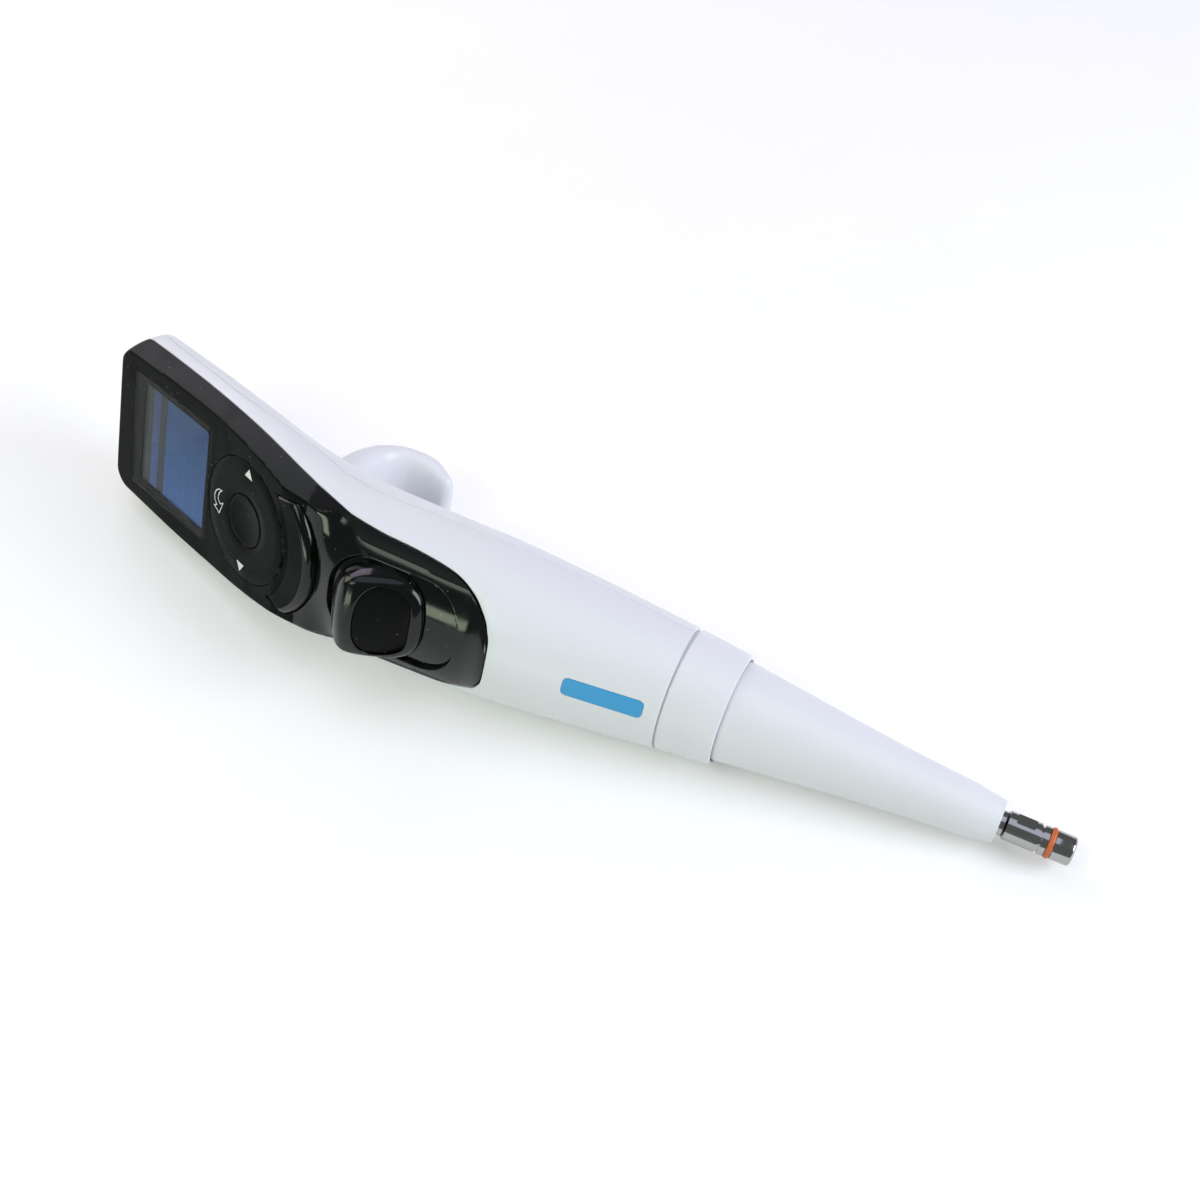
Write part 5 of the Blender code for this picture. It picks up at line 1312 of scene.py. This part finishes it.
BUTTON_RADIUS = 0.0072
BUTTON_DISH = 0.0006
BUTTON_THICKNESS = 0.0024
DISH_SHARE = 0.94
dish = [(BUTTON_RADIUS * share, -BUTTON_DISH * (1 - (share / DISH_SHARE) ** 2))
        for share in (DISH_SHARE, 0.88, 0.8, 0.7, 0.6, 0.5, 0.4, 0.3, 0.2, 0.1, 0.0)]
button_profile = [(0.0, -BUTTON_THICKNESS), (BUTTON_RADIUS, -BUTTON_THICKNESS),
                  (BUTTON_RADIUS, -0.0003),
                  (BUTTON_RADIUS * 0.992, -0.0001), (BUTTON_RADIUS * 0.97, 0.0), *dish]
show("confirm_button", *turned(button_profile, 96, KEYS), wheel_black, "button",
     ["centre_button"])

# %% Crescent key
KEY_DEPTH = 0.0044
KEY_ROUNDING = 0.0022
KEY_TOP_BAND = 0.00006
key_rings = [(0.0, -KEY_DEPTH)]
for turn in range(0, 91, 10):
    angle = math.radians(turn)
    key_rings.append((KEY_ROUNDING * (1 - math.cos(angle)), -KEY_ROUNDING * (1 - math.sin(angle))))
key_cap = show("crescent_key_cap", *stack([key_outline(trim) for trim, _ in key_rings],
                                          [height for _, height in key_rings], KEYS),
               gloss_black, "crescent_key", ["run_key"])
key_cap.data.materials.append(wheel_black)
key_heights = in_plane(upright_centres(key_cap), KEYS)[:, 2]
on_top = key_heights > -KEY_TOP_BAND
key_cap.data.polygons.foreach_set("material_index", on_top.astype(np.int32))

# %% [markdown]
# ## Printed marks on the wheel
# Two solid triangles and a return arrow tell which way a press on the wheel goes. They are
# pad-printed in white. A print has almost no height, so each mark is a plate of a few hundredths
# of a millimetre that rides on the wheel. Painting them into the material would need a mask with
# very fine steps to stay as sharp.

# %% Marks
print_white = finish("print_white", (0.78, 0.79, 0.78), 0.45, grain=2600.0, relief=0.04,
                     tone=0.08, smear=0.05, rub=0.0)
PRINT_HEIGHT = 0.00005


def plate(outline, low, high, axes):
    """A flat outline between two heights over a plane."""
    return stack([outline, outline], (low, high), axes)


def stroke(line, width, low, high, axes):
    """A closed outline drawn as a line of some width."""
    line = np.array(line, float)
    into = line - np.roll(line, 1, axis=0)
    out = np.roll(line, -1, axis=0) - line
    into /= np.linalg.norm(into, axis=1, keepdims=True)
    out /= np.linalg.norm(out, axis=1, keepdims=True)
    normal = np.stack([-into[:, 1] - out[:, 1], into[:, 0] + out[:, 0]], axis=1)
    normal /= np.linalg.norm(normal, axis=1, keepdims=True)
    reach = width / 2 / np.maximum(np.sum(normal * np.stack([-into[:, 1], into[:, 0]], 1), 1), 0.4)
    first, second = line + normal * reach[:, None], line - normal * reach[:, None]
    return stack([first, first, second, second, first], (low, high, high, low, low), axes, False)


for side, name in ((-1, "mark_left"), (1, "mark_right")):
    triangle = [(side * 0.0132, 0.0017), (side * 0.0132, -0.0017), (side * 0.0158, 0.0)]
    show(name, *plate(triangle, 0.0, PRINT_HEIGHT, KEYS), print_white, "wheel",
         slot="touch_wheel")
arrow = [(-0.0045, 0.0117), (-0.0034, 0.0142), (-0.00265, 0.0131), (-0.0017, 0.0142),
         (-0.0002, 0.0145), (0.0014, 0.0139), (0.0024, 0.0127), (0.0027, 0.0112),
         (0.0019, 0.0121), (0.0007, 0.0127), (-0.0006, 0.0127), (-0.0016, 0.0116),
         (-0.0007, 0.0103)]
show("mark_return", *stroke(arrow, 0.00028, 0.0, PRINT_HEIGHT, KEYS), print_white, "wheel",
     slot="touch_wheel")

# %% [markdown]
# ## Display
# Behind a flush clear pane lies a black printed border, and behind that the lit screen. The
# screen is a flat plate with its own small map, so that the shader can draw its coloured strips,
# its glow and rows that only suggest readings.

# %% Screen shader
screen_material = bpy.data.materials.new("lit_screen")
screen_material.use_nodes = True
tree = screen_material.node_tree
shader = tree.nodes["Principled BSDF"]
place = node(tree, "ShaderNodeUVMap", {"uv_map": "screen"})
split = node(tree, "ShaderNodeSeparateXYZ", links={"Vector": place.outputs["UV"]})
strips = tree.nodes.new("ShaderNodeValToRGB")
strips.color_ramp.interpolation = "CONSTANT"
ramp = strips.color_ramp.elements
ramp[0].position = 0.0
ramp[0].color = (0.040, 0.135, 0.380, 1.0)
ramp[1].position = 0.655
ramp[1].color = (0.036, 0.052, 0.078, 1.0)
for position, color in ((0.765, (0.060, 0.110, 0.300, 1.0)), (0.875, (0.043, 0.053, 0.053, 1.0))):
    ramp.new(position).color = color
tree.links.new(split.outputs["Y"], strips.inputs["Fac"])
side_light = map_range(tree, split.outputs["X"], 0.0, 1.0, 1.25, 0.75)
rows_texture = node(tree, "ShaderNodeTexBrick",
                    {"offset": 0.37, "squash": 1.0},
                    {"Scale": 5.2, "Mortar Size": 0.035, "Mortar Smooth": 0.4,
                     "Brick Width": 0.62, "Row Height": 0.52,
                     "Color1": (1.0, 1.0, 1.0, 1.0), "Color2": (0.82, 0.82, 0.82, 1.0),
                     "Mortar": (0.6, 0.6, 0.6, 1.0)},
                    {"Vector": place.outputs["UV"]})
glyphs = node(tree, "ShaderNodeTexNoise", values={"Scale": 46.0, "Detail": 2.0},
              links={"Vector": place.outputs["UV"]})
marks = map_range(tree, glyphs.outputs["Fac"], 0.52, 0.60, 1.0, 0.86)
lit = mix_color(tree, 0.60, strips.outputs["Color"], rows_texture.outputs["Color"], "MULTIPLY")
factor = node(tree, "ShaderNodeMath", {"operation": "MULTIPLY"},
              links={0: side_light, 1: marks})
scaled = node(tree, "ShaderNodeVectorMath", {"operation": "SCALE"},
              links={0: lit, "Scale": factor.outputs["Value"]})
tree.links.new(scaled.outputs["Vector"], shader.inputs["Base Color"])
tree.links.new(scaled.outputs["Vector"], shader.inputs["Emission Color"])
shader.inputs["Emission Strength"].default_value = 0.28
shader.inputs["Roughness"].default_value = 0.35
print("screen strips:", len(ramp))

# %% [markdown]
# ## Pane, border and screen plate
# The pane is a thin, lightly tinted cover: mostly see-through, with a shine of its own. It is not
# made as refracting glass, since a ray that bends at both faces of such a thin sheet brings noise
# and shows nothing more. The border is a flat frame a little under it.

# %% Material of the pane
pane_material = bpy.data.materials.new("clear_pane")
pane_material.use_nodes = True
tree = pane_material.node_tree
shader = tree.nodes["Principled BSDF"]
shader.inputs["Base Color"].default_value = (0.010, 0.012, 0.012, 1.0)
shader.inputs["Alpha"].default_value = 0.20
smears = group_node(tree, smear_group, Vector=own_axes(tree), Scale=70.0)
tree.links.new(map_range(tree, smears.outputs["Mask"], 0.0, 1.0, 0.05, 0.16),
               shader.inputs["Roughness"])

print("share of light held back by the pane:", round(shader.inputs["Alpha"].default_value, 2))

# %% Sizes and outlines of the display
border_black = finish("border_black", (0.0030, 0.0034, 0.0034), 0.40, grain=2600.0, relief=0.02,
                      tone=0.2, smear=0.08, rub=0.0, specular=0.05)
PANE_GAP = 0.00006
PANE_THICKNESS = 0.0004
PANE_BEVEL = 0.00004
BORDER_TOP = -0.00065
BORDER_BOTTOM = -0.0011
SCREEN_TOP = -0.0012
SCREEN_BOTTOM = -0.0022
VIEW_HALF_WIDTH = 0.0153
VIEW_HALF_HEIGHT = 0.0148
VIEW_CORNER = 0.0010


def rounded(half_width, low, high, corner, steps=6):
    """Outline of a rounded rectangle, centred across."""
    outline = []
    for x, y, start in ((half_width - corner, high - corner, 0),
                        (corner - half_width, high - corner, 90),
                        (corner - half_width, low + corner, 180),
                        (half_width - corner, low + corner, 270)):
        for step in range(steps + 1):
            angle = math.radians(start + 90 * step / steps)
            outline.append((x + corner * math.cos(angle), y + corner * math.sin(angle)))
    return outline


def window_outline(inset):
    """Outline of the display's opening, drawn in by an inset."""
    return rounded(WINDOW_HALF_WIDTH - inset, WINDOW_SHIFT - WINDOW_HALF_HEIGHT + inset,
                   WINDOW_SHIFT + WINDOW_HALF_HEIGHT - inset, WINDOW_CORNER)


def view_outline(inset):
    """Outline of the visible screen, drawn in by an inset."""
    return rounded(VIEW_HALF_WIDTH - inset, -VIEW_HALF_HEIGHT + inset, VIEW_HALF_HEIGHT - inset,
                   VIEW_CORNER)


print("points round the display's opening:", len(window_outline(0.0)))

# %% Pane, border and screen plate
show("display_pane", *stack([window_outline(PANE_GAP), window_outline(PANE_GAP),
                             window_outline(PANE_GAP + PANE_BEVEL)],
                            (-PANE_THICKNESS, -PANE_BEVEL, 0.0), DISPLAY),
     pane_material, "handle", ["display_window"])
inner, outer = view_outline(0.0), window_outline(0.00004)
border = stack([inner, outer, outer, inner, inner],
               (BORDER_BOTTOM, BORDER_BOTTOM, BORDER_TOP, BORDER_TOP, BORDER_BOTTOM), DISPLAY,
               False)
show("display_border", *border, border_black, "handle", slot="front_panel")
screen = show("lit_screen_plate", *plate(view_outline(-0.0002), SCREEN_BOTTOM, SCREEN_TOP, DISPLAY),
              screen_material, "handle", ["lcd_module"])
layer = screen.data.uv_layers.new(name="screen")
for loop in screen.data.loops:
    upright = to_own_axes @ screen.data.vertices[loop.vertex_index].co
    point = DISPLAY.inverted() @ upright
    layer.data[loop.index].uv = (0.5 + point[0] / (2 * VIEW_HALF_WIDTH),
                                 0.5 + point[1] / (2 * VIEW_HALF_HEIGHT))

# %% [markdown]
# ## Label
# A printed label lies in a shallow pocket of the front shell. It is cut from the same skin, set a
# little deeper, so that it follows the curve of the body and shows a fine edge all round.

# %% Label
label_blue = finish("label_blue", (0.042, 0.345, 0.680), 0.38, grain=2400.0, relief=0.04,
                    tone=0.05, smear=0.08, rub=0.0)
LABEL_INSET = 0.00004
LABEL_SUNK = 0.00004
LABEL_THICKNESS = 0.0005
LABEL_LIP = 0.00006
label_patch = clip(skin, lambda points: np.where(points[:, 1] < 0.0,
                                                 -around_label(points) - LABEL_INSET - LIP, -1.0))
show("label_plate", *thicken(sunk_patch(label_patch, LABEL_SUNK), LABEL_THICKNESS, LABEL_LIP),
     label_blue, "handle", ["volume_label"])

# %% [markdown]
# ## Collar and sleeve
# The lower end is turned, so profiles make it: a white ring where the module screws on, and the
# cone that strips the tip. The ring has a fine groove at its upper end, and the cone ends in a
# short nose with a crease above it. Small steps at each corner give the edge its highlight.

# %% Collar and sleeve
COLLAR_BOTTOM_Z = 0.0870
COLLAR_BOTTOM_RADIUS = 0.0145
COLLAR_TOP_Z = 0.1013
COLLAR_TOP_RADIUS = 0.0158
collar_profile = [
    (0.0137, COLLAR_TOP_Z + 0.0010), (0.0147, COLLAR_TOP_Z + 0.0010),
    (0.0152, COLLAR_TOP_Z + 0.0003), (COLLAR_TOP_RADIUS - 0.0006, COLLAR_TOP_Z - 0.0004),
    (COLLAR_TOP_RADIUS - 0.0002, COLLAR_TOP_Z - 0.00045),
    (COLLAR_TOP_RADIUS, COLLAR_TOP_Z - 0.0006),
    ((COLLAR_TOP_RADIUS + COLLAR_BOTTOM_RADIUS) / 2, (COLLAR_TOP_Z + COLLAR_BOTTOM_Z) / 2),
    (COLLAR_BOTTOM_RADIUS, COLLAR_BOTTOM_Z + 0.0004),
    (COLLAR_BOTTOM_RADIUS - 0.0001, COLLAR_BOTTOM_Z + 0.0001),
    (COLLAR_BOTTOM_RADIUS - 0.0003, COLLAR_BOTTOM_Z), (0.0135, COLLAR_BOTTOM_Z),
    (0.0135, COLLAR_BOTTOM_Z + 0.0006), (0.0137, COLLAR_BOTTOM_Z + 0.0008)]
show("collar_ring", *turned(closed_profile(collar_profile), 128), white_shell, "handle",
     ["collar"])

SLEEVE_WALL = 0.0012
MOUTH_RADIUS = 0.0055
MOUTH_Z = 0.0182
NOSE_CREASE = (0.00646, 0.0252)
CONE_POINTS = ((0.0065, 0.0255), (0.0086, 0.0490), (0.0129, 0.0860))
SLEEVE_TOP_RADIUS = CONE_POINTS[-1][0]
SLEEVE_TOP_Z = 0.0960
cone = [tuple(row) for row in smooth_curve(CONE_POINTS, 14)]
sleeve_profile = [(MOUTH_RADIUS - 0.0011, MOUTH_Z + 0.0001), (MOUTH_RADIUS - 0.0003, MOUTH_Z),
                  (MOUTH_RADIUS - 0.0001, MOUTH_Z + 0.0001), NOSE_CREASE, *cone,
                  (SLEEVE_TOP_RADIUS, SLEEVE_TOP_Z),
                  (SLEEVE_TOP_RADIUS - SLEEVE_WALL, SLEEVE_TOP_Z)]
sleeve_profile += [(radius - SLEEVE_WALL, z) for radius, z in reversed(cone)]
show("sleeve_cone", *turned(closed_profile(sleeve_profile), 112), white_shell, "ejector",
     ["ejector_sleeve"], sharp=30.0)

# %% [markdown]
# ## Nozzle and seal
# The tip is pressed on a chrome fitting, and a rubber ring in its groove seals it. Only the
# spanner flats aren't round. They are made by holding the points of a few rings at the flats'
# distance, which keeps the mesh in even rows. A boolean cut would break those rows up.

# %% Nozzle and seal
# The chrome's colour is darker than real chrome: painted shade for the dark surroundings that the
# polished fitting reflects.
chrome = finish("chrome", (0.42, 0.42, 0.40), 0.12, grain=1400.0, relief=0.01, tone=0.05,
                smear=0.10, rub=0.0, metallic=1.0)
seal_orange = finish("seal_orange", (0.62, 0.14, 0.035), 0.42, grain=2600.0, relief=0.05,
                     tone=0.12, smear=0.10, rub=0.0)
NOZZLE_RADIUS = 0.00365
ORING_Z = 0.0056
ORING_HALF_WIDTH = 0.00065
ORING_HALF_THICKNESS = 0.00045
ORING_GROOVE_DEPTH = 0.0007
FLAT_BOTTOM_Z = 0.0101
FLAT_TOP_Z = 0.0146
FLAT_DISTANCE = 0.0031
FLAT_STEP = 0.00002
STEM_RADIUS = 0.0031
STEM_END_Z = 0.0445
BORE_RADIUS = 0.0010
RING_FLOOR = 0.00315
seal_floor = NOZZLE_RADIUS - ORING_GROOVE_DEPTH
groove = ORING_HALF_WIDTH + 0.0001
nozzle_profile = [
    (BORE_RADIUS, 0.0004), (BORE_RADIUS + 0.0002, 0.0), (0.0030, 0.0), (0.00322, 0.0001),
    (NOZZLE_RADIUS - 0.0001, 0.00038), (NOZZLE_RADIUS, 0.0006),
    (NOZZLE_RADIUS, ORING_Z - groove - 0.0001), (NOZZLE_RADIUS - 0.0001, ORING_Z - groove),
    (seal_floor, ORING_Z - groove), (seal_floor, ORING_Z + groove),
    (NOZZLE_RADIUS - 0.0001, ORING_Z + groove), (NOZZLE_RADIUS, ORING_Z + groove + 0.0001),
    (NOZZLE_RADIUS, 0.00795), (RING_FLOOR, 0.00800), (RING_FLOOR, 0.00860),
    (NOZZLE_RADIUS, 0.00865), (NOZZLE_RADIUS, FLAT_BOTTOM_Z - FLAT_STEP),
    (NOZZLE_RADIUS, FLAT_BOTTOM_Z), (NOZZLE_RADIUS, 0.0123), (NOZZLE_RADIUS, FLAT_TOP_Z),
    (NOZZLE_RADIUS, FLAT_TOP_Z + FLAT_STEP), (NOZZLE_RADIUS, 0.0164), (STEM_RADIUS, 0.0170),
    (STEM_RADIUS, STEM_END_Z), (BORE_RADIUS, STEM_END_Z)]
points, faces = turned(closed_profile(nozzle_profile), 96)
flats = ((points[:, 2] > FLAT_BOTTOM_Z - FLAT_STEP / 2)
         & (points[:, 2] < FLAT_TOP_Z + FLAT_STEP / 2))
points[flats, 0] = np.clip(points[flats, 0], -FLAT_DISTANCE, FLAT_DISTANCE)
show("nozzle_fitting", points, faces, chrome, "handle", ["nozzle"], sharp=35.0)

seal_centre = seal_floor + ORING_HALF_THICKNESS + 0.00005
seal_profile = [(seal_centre + ORING_HALF_THICKNESS * math.cos(turn),
                 ORING_Z + ORING_HALF_WIDTH * math.sin(turn))
                for turn in np.linspace(0, -2 * math.pi, 25)]
show("seal_ring", *turned(seal_profile, 96), seal_orange, "handle", ["tip_seal"])

# %% [markdown]
# ## Pieces inside
# The drive, the board and the battery are hidden by the shells, but each has its own finish, so
# that an opened or cut-away model looks like the real one. The CAD shapes are right as they are
# and stay.

# %% Finishes of the carried nodes
inside = {
    "cylinder": finish("turned_aluminium", (0.62, 0.63, 0.65), 0.28, grain=900.0, relief=0.03,
                       metallic=1.0),
    "return_spring": finish("spring_wire", (0.42, 0.43, 0.45), 0.30, grain=1800.0, relief=0.03,
                            metallic=1.0),
    "piston": finish("ground_steel", (0.58, 0.59, 0.61), 0.16, grain=2400.0, relief=0.02,
                     metallic=1.0),
    "piston_seal": finish("waxy_seal", (0.80, 0.80, 0.76), 0.45, grain=1500.0, relief=0.05),
    "seal_retainer": finish("retainer_aluminium", (0.50, 0.51, 0.53), 0.34, grain=1100.0,
                            relief=0.04, metallic=1.0),
    "module_flange": finish("grey_moulding", (0.19, 0.20, 0.21), 0.48, grain=2000.0, relief=0.08),
    "push_bar": finish("pressed_steel", (0.50, 0.51, 0.53), 0.32, grain=1300.0, relief=0.04,
                       metallic=1.0, rub=0.3),
    "lead_screw": finish("rolled_steel", (0.40, 0.41, 0.42), 0.26, grain=1700.0, relief=0.05,
                         metallic=1.0),
    "drive_motor": finish("motor_can", (0.52, 0.53, 0.54), 0.38, grain=1500.0, relief=0.05,
                          metallic=1.0, smear=0.16),
    "keymat": finish("silicone_mat", (0.16, 0.16, 0.17), 0.60, grain=1900.0, relief=0.06,
                     dust=0.04),
    "main_board": finish("solder_mask", (0.012, 0.110, 0.055), 0.30, grain=1200.0, relief=0.05,
                         tone=0.2),
    "battery": finish("battery_film", (0.030, 0.070, 0.170), 0.30, grain=1300.0, relief=0.04,
                      tone=0.15),
}
inside["piston_carriage"] = inside["module_flange"]
inside["chassis"] = inside["module_flange"]
inside["guide_rod_left"] = inside["piston"]
inside["guide_rod_right"] = inside["piston"]
for name, material in inside.items():
    carried_node = frame["nodes"][name]
    carried_node.data.materials.clear()
    carried_node.data.materials.append(material)
print("nodes with an inside finish:", len(inside))

# %% [markdown]
# ## Floor, light and background
# The picture was taken on a white sheet under large soft lamps, so the shadow is a wide grey
# cloud below and in front of the pipette. The floor is one pale plane. To the camera it adds a
# little of its own light, which makes the open sheet white and keeps the shadow. Reflections see
# the same white sheet, and the light on the object stays plain. Brighter lamps would whiten the
# sheet too, but they would burn out the white shells.

# %% Floor
floor_material = bpy.data.materials.new("paper_floor")
floor_material.use_nodes = True
tree = floor_material.node_tree
shader = tree.nodes["Principled BSDF"]
shader.inputs["Roughness"].default_value = 0.9
shader.inputs["Specular IOR Level"].default_value = 0.1
place = node(tree, "ShaderNodeTexCoord")
fibre = group_node(tree, grain_group, Vector=place.outputs["Object"], Scale=600.0)
paper = mix_color(tree, fibre.outputs["Tone"], (0.80, 0.80, 0.80, 1.0), (0.82, 0.82, 0.82, 1.0))
tree.links.new(paper, shader.inputs["Base Color"])
seen = node(tree, "ShaderNodeLightPath")
direct = node(tree, "ShaderNodeMath", {"operation": "ADD", "use_clamp": True},
              links={0: seen.outputs["Is Camera Ray"], 1: seen.outputs["Is Glossy Ray"]})
glow = node(tree, "ShaderNodeEmission", links={"Strength": map_range(
    tree, direct.outputs["Value"], 0.0, 1.0, 0.0, 0.22)})
added = node(tree, "ShaderNodeAddShader", links={0: shader.outputs["BSDF"],
                                                 1: glow.outputs["Emission"]})
tree.links.new(added.outputs["Shader"], tree.nodes["Material Output"].inputs["Surface"])
FLOOR_HALF = 1.0
floor_mesh = bpy.data.meshes.new("floor")
floor_mesh.from_pydata([(-FLOOR_HALF, -FLOOR_HALF, 0), (FLOOR_HALF, -FLOOR_HALF, 0),
                        (FLOOR_HALF, FLOOR_HALF, 0), (-FLOOR_HALF, FLOOR_HALF, 0)], [],
                       [(0, 1, 2, 3)])
floor = bpy.data.objects.new("floor", floor_mesh)
bpy.context.collection.objects.link(floor)
floor_mesh.materials.append(floor_material)
print("floor:", 2 * FLOOR_HALF, "m wide")

# %% [markdown]
# ## World and lamps
# Six rectangular lamps stand round the object, and all point at its middle. The large one above
# gives the soft shadow, the ones at the sides draw long highlights on the black moulding, and a
# low one lifts the underside. The camera sees a white world, while the object is filled by a
# dim, slightly cool one.

# %% World and lamps
world = bpy.data.worlds.new("studio")
bpy.context.scene.world = world
world.use_nodes = True
tree = world.node_tree
background = tree.nodes["Background"]
seen = node(tree, "ShaderNodeLightPath")
room = node(tree, "ShaderNodeBackground", values={"Color": (0.92, 0.97, 1.0, 1.0),
                                                  "Strength": 0.18})
background.inputs["Color"].default_value = (1.0, 1.0, 1.0, 1.0)
background.inputs["Strength"].default_value = 1.0
pick = node(tree, "ShaderNodeMixShader", links={0: seen.outputs["Is Camera Ray"],
                                                1: room.outputs["Background"],
                                                2: background.outputs["Background"]})
tree.links.new(pick.outputs["Shader"], tree.nodes["World Output"].inputs["Surface"])


def lamp(name, place, target, size, power, color):
    """A rectangular lamp that points at its target."""
    data = bpy.data.lights.new(name, "AREA")
    data.shape = "RECTANGLE"
    data.size, data.size_y = size
    data.energy = power
    data.color = color
    obj = bpy.data.objects.new(name, data)
    bpy.context.collection.objects.link(obj)
    obj.location = place
    obj.rotation_euler = (Vector(target) - Vector(place)).to_track_quat("-Z", "Y").to_euler()


OBJECT_MIDDLE = (0.0, 0.0, 0.02)
for name, place, size, power, color in (
        ("soft_top", (0.0, 0.05, 0.90), (0.8, 0.8), 1.9, (0.76, 0.75, 1.00)),
        ("soft_left", (-0.85, 0.10, 0.45), (0.5, 0.6), 2.4, (1.00, 1.00, 0.80)),
        ("soft_right", (0.85, 0.10, 0.45), (0.5, 0.6), 7.2, (0.88, 0.91, 1.00)),
        ("soft_back", (-0.60, 0.60, 0.60), (0.6, 0.5), 2.4, (0.94, 0.79, 1.00)),
        ("soft_front", (-0.28, -0.52, 0.70), (0.5, 0.35), 1.9, (0.90, 1.00, 0.84)),
        ("low_front", (-0.20, -0.80, 0.12), (0.5, 0.14), 1.3, (0.86, 1.00, 0.74))):
    lamp(name, place, OBJECT_MIDDLE, size, power, color)
bpy.context.scene.view_settings.view_transform = "Standard"
